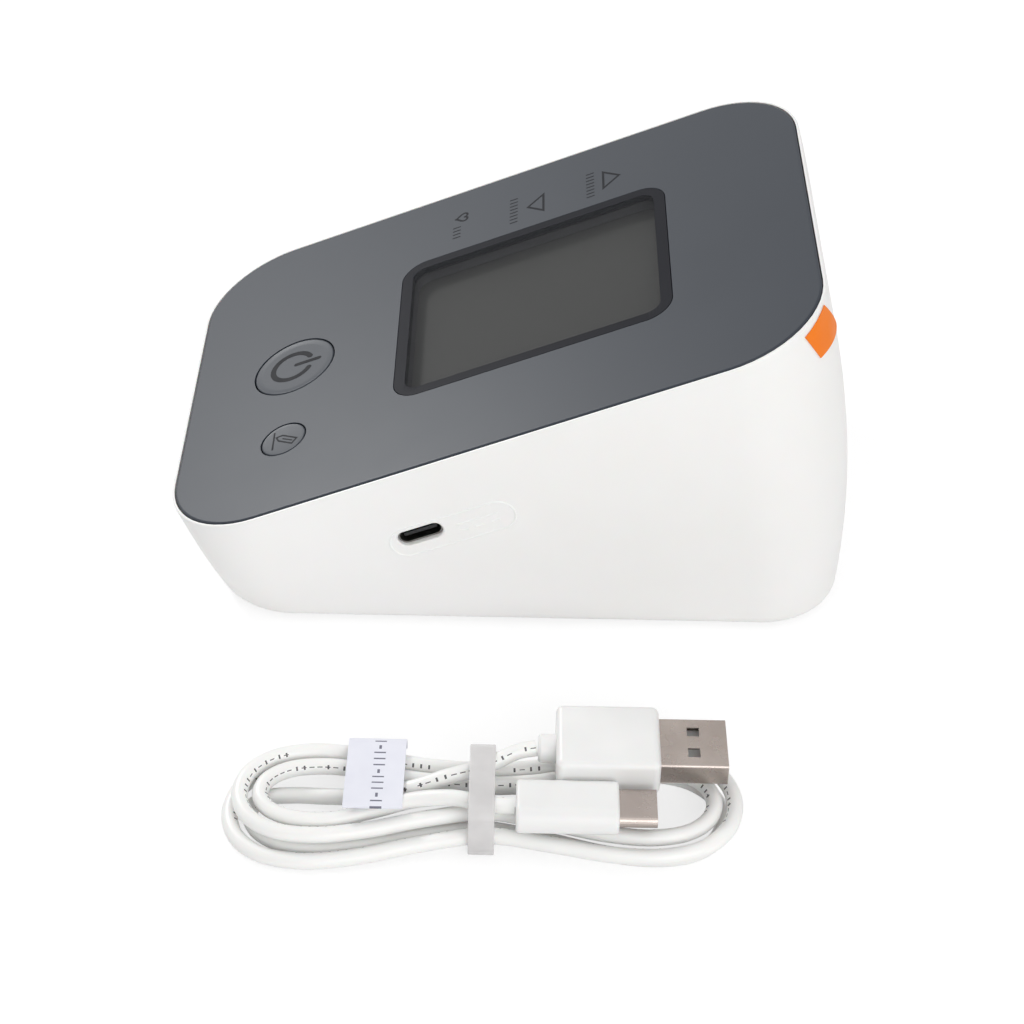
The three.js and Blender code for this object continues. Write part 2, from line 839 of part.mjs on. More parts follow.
// Main board with what is soldered under it, and its screws
function makeBoard() {
  const length = boardRear - boardFront;
  const outline = shifted(
    roundedOutline(2 * boardHalfWidth, length, boardCornerRadius, 3),
    0,
    boardFront + length / 2,
  );
  const holes = boardScrewPlaces.map(([x, y]) => circleOutline(boardScrewRadius + fitGap, 12, x, y));
  addPiece(slopingTop, "main_board", plate(outline, boardThickness, boardTop, holes), "board");
  boardScrewPlaces.forEach(([x, y], index) => {
    const headTop = boardBottom - fitGap;
    const head = bar([x, y, headTop - boardScrewHeadHeight], [x, y, headTop], boardScrewHead, 12);
    const shank = bar([x, y, headTop - joinDepth], [x, y, headTop + boardScrewLength], boardScrewRadius, 12);
    addPiece(slopingTop, `board_screw_${index + 1}`, joined(head, shank), "steel");
  });
  const under = boardBottom - fitGap;
  const disc = bar([...buzzerPlace, under - buzzerHeight], [...buzzerPlace, under], buzzerRadius);
  const sound = bar(
    [...buzzerPlace, under - buzzerHeight - cutPast],
    [...buzzerPlace, under - buzzerHeight / 2],
    buzzerHoleRadius,
    12,
  );
  addPiece(slopingTop, "buzzer", cut(disc, sound), "black");
  const half = sensorSize / 2;
  const [x, y] = sensorPlace;
  const body = block([x - half, y - half, under - sensorHeight], [x + half, y + half, under]);
  const level = under - sensorHeight / 2;
  const nozzle = bar([x, y, level], [x - half - nippleLength, y, level], nippleRadius, 10);
  const bore = bar([x - half / 2, y, level], [x - half - nippleLength - cutPast, y, level], nippleBore, 8);
  addPiece(slopingTop, "pressure_sensor", cut(joined(body, nozzle), bore), "black");
}

// Power socket: a sheet-metal shell with a tongue inside, on its own small board
function makeSocket() {
  const width = socketSlotLength - 2 * fitGap;
  const height = socketSlotHeight - 2 * fitGap;
  const outside = shifted(roundedOutline(width, height, height / 2), ...socketPlace);
  const insideHeight = height - 2 * socketSheet;
  const insideWidth = width - 2 * socketSheet;
  const inside = shifted(roundedOutline(insideWidth, insideHeight, insideHeight / 2), ...socketPlace);
  const back = socketFace - socketDepth;
  const shell = cut(
    prismAlongX(outside, back, socketFace),
    prismAlongX(inside, back + socketSheet, socketFace + cutPast),
  );
  addPiece(slopingTop, "usb_socket", shell, "steel");
  const tongueOutline = shifted(roundedOutline(tongueWidth, tongueHeight, tongueRound, 2), ...socketPlace);
  const rootHeight = insideHeight - 2 * fitGap;
  const rootOutline = shifted(
    roundedOutline(insideWidth - 2 * fitGap, rootHeight, rootHeight / 2, 4),
    ...socketPlace,
  );
  const rootBack = back + socketSheet + fitGap;
  const tongue = joined(
    prismAlongX(rootOutline, rootBack, rootBack + tongueRoot),
    prismAlongX(tongueOutline, rootBack + tongueRoot / 2, rootBack + tongueRoot + tongueLength),
  );
  addPiece(slopingTop, "usb_tongue", tongue, "black");
  const boardFace = socketPlace[1] - height / 2 - fitGap;
  const half = socketBoardLength / 2 - fitGap;
  const smallBoard = block(
    [socketFace - socketBoardReach, socketPlace[0] - half, boardFace - socketBoardThickness],
    [socketFace - wallThickness, socketPlace[0] + half, boardFace],
  );
  addPiece(slopingTop, "usb_board", smallBoard, "board");
}

// Air socket: a ring flush in the left wall, a flange behind it and a nipple to the inside
function makeAirSocket() {
  const bottom = airBoreDepth + airEndWall;
  const flangeStart = wallThickness + airRingSet + fitGap + joinDepth;
  const profile = [
    [0, airBoreDepth],
    [airBoreRadius, airBoreDepth],
    [airBoreRadius, airMouthChamfer],
    [airBoreRadius + airMouthChamfer, 0],
    [airRingRadius - airRingChamfer, 0],
    [airRingRadius, airRingChamfer],
    [airRingRadius, flangeStart],
    [airFlangeRadius, flangeStart],
    [airFlangeRadius, flangeStart + airFlangeThickness],
    [airRingRadius, flangeStart + airFlangeThickness],
    [airRingRadius, bottom],
    [nippleRadius, bottom],
    [nippleRadius, bottom + nippleLength],
    [0, bottom + nippleLength],
  ];
  const points = profile.map(([x, y]) => new THREE.Vector2(x, y));
  const turned = new THREE.LatheGeometry(points, airSides).rotateZ(-Math.PI / 2);
  const placed = turned.translate(airFace, airPlace[0], airPlace[1]);
  const bore = prismAlongX(
    circleOutline(nippleBore, 8, ...airPlace),
    airFace + airBoreDepth - cutPast,
    airFace + bottom + nippleLength + cutPast,
  );
  addPiece(slopingTop, "air_socket", cut(placed, bore), "silicone");
  return pointFromTop(airFace + bottom, ...airPlace);
}

// A hollow tube that slips over a nipple at each end
function tubeGeometry(points) {
  const path = new THREE.CatmullRomCurve3(points, false, "centripetal");
  const ring = new THREE.Shape(circleOutline(tubeRadius, tubeSides));
  ring.holes = [new THREE.Path(circleOutline(tubeBoreRadius, tubeSides))];
  const steps = 2 * points.length;
  return new THREE.ExtrudeGeometry(ring, { steps, extrudePath: path, bevelEnabled: false });
}

// Nipples give a root point and the direction in which they stick out
function tubeBetween(name, start, startOut, end, endOut, middle) {
  const from = start.clone().addScaledVector(startOut, fitGap);
  const to = end.clone().addScaledVector(endOut, fitGap);
  const points = [
    from,
    from.clone().addScaledVector(startOut, nippleLength),
    from.clone().addScaledVector(startOut, nippleLength + tubeStraight),
    ...middle,
    to.clone().addScaledVector(endOut, nippleLength + tubeStraight),
    to.clone().addScaledVector(endOut, nippleLength),
    to,
  ];
  addPiece(monitor, name, tubeGeometry(points), "silicone");
}

function makeConnector() {
  const [x, y, z] = connectorPlace;
  const reach = connectorReach + nippleLength;
  const past = reach + cutPast;
  const along = bar([x, y - connectorReach, z], [x, y + connectorReach, z], connectorRadius, 12);
  const upright = bar([x, y, z - connectorReach], [x, y, z + connectorReach], connectorRadius, 12);
  const nipples = [
    bar([x, y - reach, z], [x, y + reach, z], nippleRadius, 10),
    bar([x, y, z - reach], [x, y, z + reach], nippleRadius, 10),
  ];
  const bores = [
    bar([x, y - past, z], [x, y + past, z], nippleBore, 8),
    bar([x, y, z - past], [x, y, z + past], nippleBore, 8),
  ];
  addPiece(monitor, "air_connector", cut(joined(along, upright, ...nipples), ...bores), "silicone");
}

// Pump over the battery bay
function makePump() {
  const [y, z] = pumpAxis;
  const motorLeft = motorRight - motorLength;
  const headRight = motorLeft - fitGap;
  const headLeft = headRight - headLength;
  const can = bar([motorLeft, y, z], [motorRight, y, z], motorRadius, 32);
  const bossEnd = motorRight + motorBossLength;
  const rearBoss = bar([motorRight - joinDepth, y, z], [bossEnd, y, z], motorBossRadius, 16);
  const shaftHole = bar(
    [motorLeft - cutPast, y, z],
    [motorLeft + crankSeat + fitGap, y, z],
    crankShaftRadius + fitGap,
    12,
  );
  addPiece(monitor, "pump_motor", cut(joined(can, rearBoss), shaftHole), "steel");
  const outletLevel = z + outletRise;
  const head = bar([headLeft, y, z], [headRight, y, z], headRadius, 32);
  const chamberEnd = headRight - headChamberDepth;
  const chamber = bar([chamberEnd, y, z], [headRight + cutPast, y, z], headRadius - headWall);
  const outlet = bar(
    [headLeft + joinDepth, y, outletLevel],
    [headLeft - nippleLength, y, outletLevel],
    nippleRadius,
    10,
  );
  const outletBore = bar(
    [headLeft + nippleLength, y, outletLevel],
    [headLeft - nippleLength - cutPast, y, outletLevel],
    nippleBore,
    8,
  );
  addPiece(monitor, "pump_head", cut(joined(head, outlet), chamber, outletBore), "black");
  const shaft = bar([motorLeft - crankReach, y, z], [motorLeft + crankSeat, y, z], crankShaftRadius, 12);
  const disc = bar(
    [motorLeft - crankReach, y, z + crankOffset],
    [motorLeft - crankReach + crankWidth, y, z + crankOffset],
    crankRadius,
  );
  addPiece(monitor, "pump_crank", joined(shaft, disc), "steel");
  const cradleRight = motorRight - cradleSet;
  const cradleLeft = cradleRight - cradleLength;
  const cradle = cut(
    block(
      [cradleLeft, y - cradleHalfWidth, bayTop],
      [cradleRight, y + cradleHalfWidth, z - cradleOpening],
    ),
    bar([cradleLeft - cutPast, y, z], [cradleRight + cutPast, y, z], motorRadius + fitGap, 32),
  );
  addPiece(monitor, "pump_cradle", cradle, "silicone");
  return new THREE.Vector3(headLeft, y, outletLevel);
}

function makeValve() {
  const [width, length, height] = valveSize;
  const [x, y] = valvePlace;
  const bottom = floorThickness;
  const level = bottom + height / 2;
  const front = y - length / 2;
  const rear = y + length / 2;
  const left = x - width / 2;
  const body = block([left, front, bottom], [x + width / 2, rear, bottom + height]);
  const nozzle = bar([x, y, level], [left - nippleLength, y, level], nippleRadius, 10);
  const bore = bar([x, y, level], [left - nippleLength - cutPast, y, level], nippleBore, 8);
  const seatEnd = rear - valvePlungerSeat - valveTravel - fitGap;
  const seat = bar([x, rear + cutPast, level], [x, seatEnd, level], valvePlungerRadius + fitGap, 16);
  addPiece(monitor, "release_valve", cut(joined(body, nozzle), bore, seat), "steel");
  const end = rear + valvePlungerReach;
  const stem = bar([x, rear - valvePlungerSeat, level], [x, end, level], valvePlungerRadius, 16);
  const button = bar([x, end - valvePlungerHeadThickness, level], [x, end, level], valvePlungerHead, 16);
  addPiece(monitor, "valve_plunger", joined(stem, button), "silicone");
  return new THREE.Vector3(left, y, level);
}

// Cells lie side by side, turned end for end in turn
function cellGeometry(direction) {
  const half = cellLength / 2;
  const profile = [
    [0, -half],
    [cellRadius - cellEdge, -half],
    [cellRadius, -half + cellEdge],
    [cellRadius, half - cellEdge],
    [cellRadius - cellEdge, half],
    [cellNubRadius, half],
    [cellNubRadius, half + cellNub],
    [0, half + cellNub],
  ];
  const points = profile.map(([x, y]) => new THREE.Vector2(x, y));
  const geometry = new THREE.LatheGeometry(points, 20);
  return direction > 0 ? geometry : geometry.rotateZ(Math.PI);
}

function makeBatteries() {
  const middle = bayFront + bayLength / 2;
  const level = floorThickness + fitGap + cellRadius;
  const places = [-1.5, -0.5, 0.5, 1.5].map((step) => step * cellPitch);
  const play = bayLength / 2 - contactThickness - fitGap;
  const springRoom = play - cellLength / 2 - fitGap;
  const shift = (springRoom - cellNub) / 2;
  places.forEach((x, index) => {
    const direction = index % 2 === 0 ? 1 : -1;
    const cell = addPiece(monitor, `battery_cell_${index + 1}`, cellGeometry(direction), "cell");
    cell.position.set(x, middle + direction * shift, level);
  });
  for (const end of [-1, 1]) {
    const wallFace = middle + end * (bayLength / 2 - fitGap / 2);
    const inner = wallFace - end * contactThickness;
    const half = bayWidth / 2 - fitGap;
    const ends = [wallFace, inner].sort((first, second) => first - second);
    const sheet = block([-half, ends[0], contactBottom], [half, ends[1], contactBottom + contactHeight]);
    const springs = places
      .filter((x, index) => (index % 2 === 0 ? 1 : -1) !== end)
      .map((x) => springCone(x, inner, level, -end));
    const name = end > 0 ? "battery_contacts_rear" : "battery_contacts_front";
    addPiece(monitor, name, joined(sheet, ...springs), "steel");
  }
}

// A battery spring, drawn as the cone that its wire fills
function springCone(x, y, z, direction) {
  const geometry = new THREE.CylinderGeometry(...springRadii, springLength, 16);
  const turn = direction > 0 ? 0 : Math.PI;
  const seat = y + direction * (springLength - contactThickness) / 2;
  return geometry.rotateX(turn).translate(x, seat, z);
}

// Battery door, hinged on two tongues under the rear edge of its opening
function makeBatteryDoor() {
  const half = bayWidth / 2 - doorGap;
  const front = bayFront + doorGap;
  const rear = bayRear - doorGap;
  const panel = block([-half, front, 0], [half, rear, floorThickness]);
  const tongues = [-1, 1].map((side) => {
    const middle = (side * tongueSpread) / 2;
    return block(
      [middle - tongueSpan / 2, rear - tongueReach / 3, floorThickness - joinDepth],
      [middle + tongueSpan / 2, rear + tongueReach, floorThickness + tongueThickness],
    );
  });
  const tongueUnder = block(
    [-half, rear, -cutPast],
    [half, rear + tongueReach + cutPast, floorThickness + fitGap],
  );
  const clearTongues = tongues.map((tongue) => cut(tongue, tongueUnder));
  const slots = [-1, 1].map((side) =>
    block(
      [(side * latchWidth - latchSlot) / 2, front - cutPast, -cutPast],
      [(side * latchWidth + latchSlot) / 2, front + latchReach, floorThickness + cutPast],
    ),
  );
  const grip = block(
    [-latchWidth / 2 + gripInset, front + gripInset, -cutPast],
    [latchWidth / 2 - gripInset, front + latchReach - gripInset / 2, gripDepth],
  );
  addPiece(monitor, "battery_door", cut(joined(panel, ...clearTongues), ...slots, grip), "housing");
}

function makeFasteners() {
  const [crossSpan, crossWidth, crossDepth] = screwCross;
  caseScrewPlaces.forEach(([x, y], index) => {
    const headTop = screwHeadSet + screwHeadHeight;
    const head = bar([x, y, screwHeadSet], [x, y, headTop], screwHeadRadius, 16);
    const shank = bar([x, y, headTop - joinDepth], [x, y, headTop + screwLength], screwRadius, 10);
    const slots = [0, Math.PI / 2].map((turn) =>
      block([-crossSpan / 2, -crossWidth / 2, -cutPast], [crossSpan / 2, crossWidth / 2, crossDepth])
        .rotateZ(turn)
        .translate(x, y, screwHeadSet),
    );
    addPiece(monitor, `case_screw_${index + 1}`, cut(joined(head, shank), ...slots), "steel");
  });
  footPlaces.forEach(([x, y], index) => {
    const foot = bar([x, y, -footProud], [x, y, footSet], footRadius, 24);
    addPiece(monitor, `foot_${index + 1}`, foot, "rubber");
  });
}

function makeRatingLabel() {
  const outline = shifted(roundedOutline(...plateLabelSize, plateLabelRound, 3), ...plateLabelPlace);
  addPiece(monitor, "rating_label", plate(outline, plateLabelThickness), "paper");
}

function mixed(first, second, share) {
  return first.map((value, index) => value + (second[index] - value) * share);
}

// Coloured mark on the rear right corner, which follows the wall
function makeCornerMark() {
  const rows = 3;
  const columns = 6;
  const layer = (offset) => {
    const grid = [];
    for (let row = 0; row <= rows; row += 1) {
      for (let column = 0; column <= columns; column += 1) {
        const across = column / columns;
        const onTop = mixed(markTopLeft, markTopRight, across);
        const onBottom = mixed(markBottomLeft, markBottomRight, across);
        grid.push(cornerPoint(...mixed(onTop, onBottom, row / rows), offset));
      }
    }
    return grid;
  };
  const inner = layer(markOffset);
  const outer = layer(markOffset + markThickness);
  const wide = columns + 1;
  const rim = [];
  for (let column = 0; column < columns; column += 1) {
    rim.push(column);
  }
  for (let row = 0; row < rows; row += 1) {
    rim.push(row * wide + columns);
  }
  for (let column = columns; column > 0; column -= 1) {
    rim.push(rows * wide + column);
  }
  for (let row = rows; row > 0; row -= 1) {
    rim.push(row * wide);
  }
  const faces = [];
  for (let row = 0; row < rows; row += 1) {
    for (let column = 0; column < columns; column += 1) {
      const a = row * wide + column;
      const b = a + 1;
      const c = a + wide + 1;
      const d = a + wide;
      faces.push(a, b, c, a, c, d);
      const shift = inner.length;
      faces.push(shift + a, shift + c, shift + b, shift + a, shift + d, shift + c);
    }
  }
  rim.forEach((point, index) => {
    const next = rim[(index + 1) % rim.length];
    const shift = inner.length;
    faces.push(point, shift + point, shift + next, point, shift + next, next);
  });
  const geometry = new THREE.BufferGeometry().setFromPoints([...inner, ...outer]);
  geometry.setIndex(faces);
  const flat = geometry.toNonIndexed();
  flat.computeVertexNormals();
  addPiece(monitor, "corner_mark", flat, "mark");
}

// A point on the rear right corner of the wall, by share of the quarter turn and of the wall's height
function cornerPoint(turn, share, offset) {
  const angle = (Math.PI / 2) * turn;
  const out = [Math.cos(angle), Math.sin(angle)];
  const base = {
    x: baseHalfWidth - baseCornerRadius + baseCornerRadius * out[0],
    y: baseRear - baseCornerRadius + baseCornerRadius * out[1],
    out,
  };
  const rim = {
    x: rimWidth / 2 - rimCornerRadius + rimCornerRadius * out[0],
    y: rimLength / 2 - rimCornerRadius + rimCornerRadius * out[1],
  };
  const line = makeWallLine(base, rim);
  return line.at(share).addScaledVector(line.out, offset);
}

// Hank: loops that spiral out on the lower layer, climb along a run, and spiral in again on the upper one
function hankPoint(turn) {
  const angle = 1.5 * Math.PI - 2 * Math.PI * turn;
  const inward = hankStep * Math.abs(turn - hankReverse);
  const climb = THREE.MathUtils.smoothstep(turn, hankReverse - 0.25, hankReverse + 0.25);
  const y = (hankHalfLength - inward) * Math.cos(angle);
  const side = Math.sqrt(1 - Math.abs(Math.cos(angle)) ** hankEndPower) * Math.sign(Math.sin(angle));
  const waist = hankWaistDraw * Math.exp(-((y / hankWaistReach) ** 2));
  const x = side * (hankHalfWidth - inward - waist) - hankLean * climb;
  const lift = bandLift * Math.exp(-((y / bandLiftReach) ** 2));
  return new THREE.Vector3(x, y, cableRadius + lift + hankLayer * climb);
}

// The cable's middle line, from the charger's plug through the loops to the monitor's plug
function cableLine() {
  const [aX, aY, aZ] = plugAPlace;
  const [cX, cY, cZ] = plugCPlace;
  const points = [new THREE.Vector3(aX, aY - reliefLength - fitGap, aZ)];
  chargerEnd.forEach((point) => points.push(new THREE.Vector3(...point)));
  const count = Math.round((hankEndTurn - hankStartTurn) * stepsPerTurn);
  for (let step = 0; step <= count; step += 1) {
    points.push(hankPoint(hankStartTurn + (hankEndTurn - hankStartTurn) * (step / count)));
  }
  monitorEnd.forEach((point) => points.push(new THREE.Vector3(...point)));
  points.push(new THREE.Vector3(cX, cY - fitGap - cableRadius, cZ));
  points.push(new THREE.Vector3(cX, cY - fitGap, cZ));
  return points;
}

// A solid tube with one ring of corners at each point of its middle line
function tubeAlong(points, radius, sides) {
  const line = new THREE.CatmullRomCurve3(points, false, "centripetal");
  const last = points.length - 1;
  const normal = new THREE.Vector3(0, 0, 1);
  const rings = points.map((point, index) => {
    const tangent = line.getTangent(index / last);
    normal.addScaledVector(tangent, -normal.dot(tangent)).normalize();
    const across = new THREE.Vector3().crossVectors(normal, tangent);
    const ring = [];
    for (let side = 0; side < sides; side += 1) {
      const angle = (2 * Math.PI * side) / sides;
      const corner = point.clone().addScaledVector(across, radius * Math.sin(angle));
      ring.push(corner.addScaledVector(normal, -radius * Math.cos(angle)));
    }
    return ring;
  });
  return closedRings(rings);
}

// Least distance between two strands' skins, measured on points along the middle line
function leastSelfGap(points, radius) {
  const line = new THREE.CatmullRomCurve3(points, false, "centripetal");
  const spacing = 1.5;
  const count = Math.round(line.getLength() / spacing);
  const samples = line.getSpacedPoints(count);
  const apart = Math.ceil((8 * radius) / spacing);
  let least = Infinity;
  for (let first = 0; first < samples.length; first += 1) {
    for (let second = first + apart; second < samples.length; second += 1) {
      least = Math.min(least, samples[first].distanceTo(samples[second]));
    }
  }
  return least - 2 * radius;
}

// A rounded bar along Y, from its rear face forward
function plugBody([width, length, height], round, [x, y, z]) {
  const outline = shifted(roundedOutline(width, height, round, 5), x, z);
  return prismAlongY(outline, y, y + length);
}

function makeChargerPlug() {
  const [x, y, z] = plugAPlace;
  const [shellWidth, shellLength, shellHeight] = plugAShell;
  const front = y + plugABody[1];
  const relief = bar([x, y - reliefLength, z], [x, y + joinDepth, z], reliefRadius, 20);
  const seatSize = [shellWidth + 2 * fitGap, plugASeat + fitGap + cutPast, shellHeight + 2 * fitGap];
  const seat = plugBody(seatSize, plugAShellRound, [x, front - plugASeat - fitGap, z]);
  const body = cut(joined(plugBody(plugABody, plugARound, plugAPlace), relief), seat);
  addPiece(lead, "usb_a_overmold", body, "cable");
  const back = front - plugASeat;
  const tubeLength = shellLength + plugASeat;
  const inside = [shellWidth - 2 * plugASheet, tubeLength, shellHeight - 2 * plugASheet];
  const half = plugAHole / 2;
  const holes = [-1, 1].map((side) => {
    const middle = x + (side * plugAHoleSpread) / 2;
    const centre = front + shellLength / 2;
    return block(
      [middle - half, centre - half, z - shellHeight],
      [middle + half, centre + half, z + shellHeight],
    );
  });
  const shell = cut(
    plugBody([shellWidth, tubeLength, shellHeight], plugAShellRound, [x, back, z]),
    plugBody(inside, plugAShellRound / 2, [x, back + plugASheet, z]),
    ...holes,
  );
  addPiece(lead, "usb_a_shell", shell, "steel");
  const [insertWidth, insertLength, insertHeight] = plugAInsert;
  const insertBottom = z - shellHeight / 2 + plugASheet + fitGap;
  const insertBack = back + plugASheet + fitGap;
  const insert = block(
    [x - insertWidth / 2 + fitGap, insertBack, insertBottom],
    [x + insertWidth / 2 - fitGap, front + insertLength, insertBottom + insertHeight],
  );
  addPiece(lead, "usb_a_insert", insert, "cable");
}

function makeMonitorPlug() {
  const [x, y, z] = plugCPlace;
  const [shellWidth, shellLength, shellHeight] = plugCShell;
  const front = y + plugCBody[1];
  const seatSize = [shellWidth + 2 * fitGap, plugCSeat + fitGap + cutPast, shellHeight + 2 * fitGap];
  const seat = plugBody(seatSize, shellHeight / 2 + fitGap, [x, front - plugCSeat - fitGap, z]);
  const body = cut(plugBody(plugCBody, plugCRound, plugCPlace), seat);
  addPiece(lead, "usb_c_overmold", body, "cable");
  const back = front - plugCSeat;
  const tubeLength = shellLength + plugCSeat;
  const inside = [shellWidth - 2 * plugCSheet, tubeLength, shellHeight - 2 * plugCSheet];
  const shell = cut(
    plugBody([shellWidth, tubeLength, shellHeight], shellHeight / 2, [x, back, z]),
    plugBody(inside, inside[2] / 2, [x, back + plugCSeat, z]),
  );
  addPiece(lead, "usb_c_shell", shell, "steel");
}

function makeBand() {
  const [width, height] = bandInside;
  const level = bandThickness + height / 2;
  const inside = shifted(roundedOutline(width, height, bandCorner, 6), bandMiddle, level);
  const outside = shifted(
    roundedOutline(width + 2 * bandThickness, height + 2 * bandThickness, bandCorner + bandThickness, 6),
    bandMiddle,
    level,
  );
  addPiece(lead, "lead_tie", prismAlongY(outside, -bandWidth / 2, bandWidth / 2, [inside]), "cable");
}

// The flag's strip, from a line drawn across the hank and given a thickness
function makeFlag() {
  const line = flagProfile.map(([x, z]) => new THREE.Vector2(x, z));
  const offsets = line.map((point, index) => {
    const before = line[Math.max(index - 1, 0)];
    const after = line[Math.min(index + 1, line.length - 1)];
    const run = after.clone().sub(before).normalize();
    return point.clone().add(new THREE.Vector2(-run.y, run.x).multiplyScalar(flagThickness));
  });
  const outline = [...line, ...offsets.reverse()].reverse();
  const flag = prismAlongY(outline, flagPlace - flagWidth / 2, flagPlace + flagWidth / 2);
  addPiece(lead, "lead_label", flag, "paper");
}

function makeLead() {
  const points = cableLine();
  addPiece(lead, "lead_hank", tubeAlong(points, cableRadius, cableSides), "cable");
  makeBand();
  makeFlag();
  makeChargerPlug();
  makeMonitorPlug();
  const length = new THREE.CatmullRomCurve3(points, false, "centripetal").getLength();
  const gap = leastSelfGap(points, cableRadius);
  console.log("cable length", length.toFixed(1), "least gap to itself", gap.toFixed(2));
}

// Assembly
addPiece(monitor, "lower_housing", makeHousing(), "housing");
addPiece(monitor, "upper_frame", makeUpperFrame(), "housing");
addPiece(slopingTop, "front_panel", makePanel(), "panel");
makeDisplay();
makeButton("power", powerRadius, powerPlace);
makeButton("memory", memoryRadius, memoryPlace);
makeBoard();
makeSocket();
makeConnector();
const left = new THREE.Vector3(-1, 0, 0);
const right = new THREE.Vector3(1, 0, 0);
const front = new THREE.Vector3(0, -1, 0);
const rear = new THREE.Vector3(0, 1, 0);
const up = new THREE.Vector3(0, 0, 1);
const down = new THREE.Vector3(0, 0, -1);
const airRoot = makeAirSocket();
const pumpRoot = makePump();
const valveRoot = makeValve();
const [connectorX, connectorY, connectorZ] = connectorPlace;
const connectorRoot = (direction) =>
  new THREE.Vector3(connectorX, connectorY, connectorZ).addScaledVector(direction, connectorReach);
const sensorLevel = boardBottom - fitGap - sensorHeight / 2;
const sensorRoot = pointFromTop(sensorPlace[0] - sensorSize / 2, sensorPlace[1], sensorLevel);
const airMiddle = airTubeRoot.map(([x, y, z]) => new THREE.Vector3(x, airRoot.y + y, connectorZ + z));
airMiddle.push(new THREE.Vector3(connectorX + airTubeEnd[0], connectorY + airTubeEnd[1], connectorZ));
const [pumpTubeX, pumpTubeY, pumpTubeZ] = pumpTubeMiddle;
const pumpTubeLevel = (pumpAxis[1] + connectorZ) / 2 + pumpTubeZ;
const valveTubeX = connectorX + valveTubeSide;
tubeBetween("air_socket_tube", airRoot, right, connectorRoot(front), front, airMiddle);
tubeBetween("pump_tube", pumpRoot, left, connectorRoot(rear), rear, [
  new THREE.Vector3(connectorX + pumpTubeX, pumpAxis[0] + pumpTubeY, pumpTubeLevel),
]);
tubeBetween("sensor_tube", sensorRoot, left, connectorRoot(up), up, []);
tubeBetween("valve_tube", valveRoot, left, connectorRoot(down), down, [
  new THREE.Vector3(valveTubeX, valveRoot.y + valveTubeStart[0], valveRoot.z + valveTubeStart[1]),
  new THREE.Vector3(valveTubeX, connectorY + valveTubeEnd[0], valveRoot.z + valveTubeEnd[1]),
]);
makeBatteries();
makeBatteryDoor();
makeFasteners();
makeRatingLabel();
makeCornerMark();
makeLead();

// The origin is under the middle of the monitor, on the plane that its feet stand on
const bounds = new THREE.Box3().setFromObject(monitor.getObjectByName("lower_housing"));
const middleOfMonitor = (bounds.min.y + bounds.max.y) / 2;
monitor.position.set(0, -middleOfMonitor, footProud);
lead.position.set(leadPlace[0], leadPlace[1] - middleOfMonitor, 0);
const bloodPressureMonitor = new THREE.Group();
bloodPressureMonitor.add(monitor, lead);
export default bloodPressureMonitor;
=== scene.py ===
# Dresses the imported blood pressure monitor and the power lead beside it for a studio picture.
# Metres throughout; small sizes are written in millimetres and multiplied by mm.
import math

import bmesh
import bpy
from mathutils import Matrix, Vector
from mathutils.bvhtree import BVHTree


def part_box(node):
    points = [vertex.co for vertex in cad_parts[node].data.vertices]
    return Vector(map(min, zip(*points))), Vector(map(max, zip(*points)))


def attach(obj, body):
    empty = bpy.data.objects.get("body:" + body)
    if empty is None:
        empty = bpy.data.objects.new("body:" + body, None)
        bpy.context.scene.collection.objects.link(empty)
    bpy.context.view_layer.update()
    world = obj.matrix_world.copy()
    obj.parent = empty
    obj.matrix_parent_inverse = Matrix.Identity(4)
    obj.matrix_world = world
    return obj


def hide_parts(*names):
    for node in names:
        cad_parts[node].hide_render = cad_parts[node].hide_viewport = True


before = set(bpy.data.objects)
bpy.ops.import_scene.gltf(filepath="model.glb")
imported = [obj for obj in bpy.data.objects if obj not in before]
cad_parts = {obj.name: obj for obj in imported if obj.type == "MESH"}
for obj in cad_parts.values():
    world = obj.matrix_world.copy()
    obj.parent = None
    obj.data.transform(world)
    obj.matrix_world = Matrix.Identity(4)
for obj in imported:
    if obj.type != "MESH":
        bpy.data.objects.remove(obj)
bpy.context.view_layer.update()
mm = 0.001
samePlace = 1e-4  # mm between two points that count as one
weldReach = 1e-7  # m between two vertices that are welded
cutPast = 1  # mm that a cutter reaches past what it cuts
print("frame loaded")


# Even shares of a whole, from none or from the first step, up to all of it
def shares(count, first=0):
    return [step / count for step in range(first, count + 1)]


# A frame moved by millimetres along its own axes
def shifted(frameOf, x, y, z=0):
    return frameOf @ Matrix.Translation(Vector((x, y, z)) * mm)


def addObject(name, data):
    thing = bpy.data.objects.new(name, data)
    bpy.context.scene.collection.objects.link(thing)
    return thing


# Camera, at the place from which the photograph was taken
shot = {
    "place": Vector((375.8, -0.2, 297.05)) * mm,
    "right": Vector((-0.0113, 0.99979, 0.01706)),
    "ahead": Vector((-0.77675, 0.00196, -0.62981)),
    "lens": 78.95,
    "sensor": 36,
    "clipStart": 0.01,
}


def makeCamera():
    data = bpy.data.cameras.new("studioCamera")
    data.lens = shot["lens"]
    data.sensor_width = shot["sensor"]
    data.clip_start = shot["clipStart"]
    camera = addObject("studioCamera", data)
    back = -shot["ahead"].normalized()
    right = (shot["right"] - back * shot["right"].dot(back)).normalized()
    turn = Matrix((right, back.cross(right), back)).transposed()
    camera.matrix_world = Matrix.Translation(shot["place"]) @ turn.to_4x4()
    bpy.context.scene.camera = camera


makeCamera()
print("camera placed")

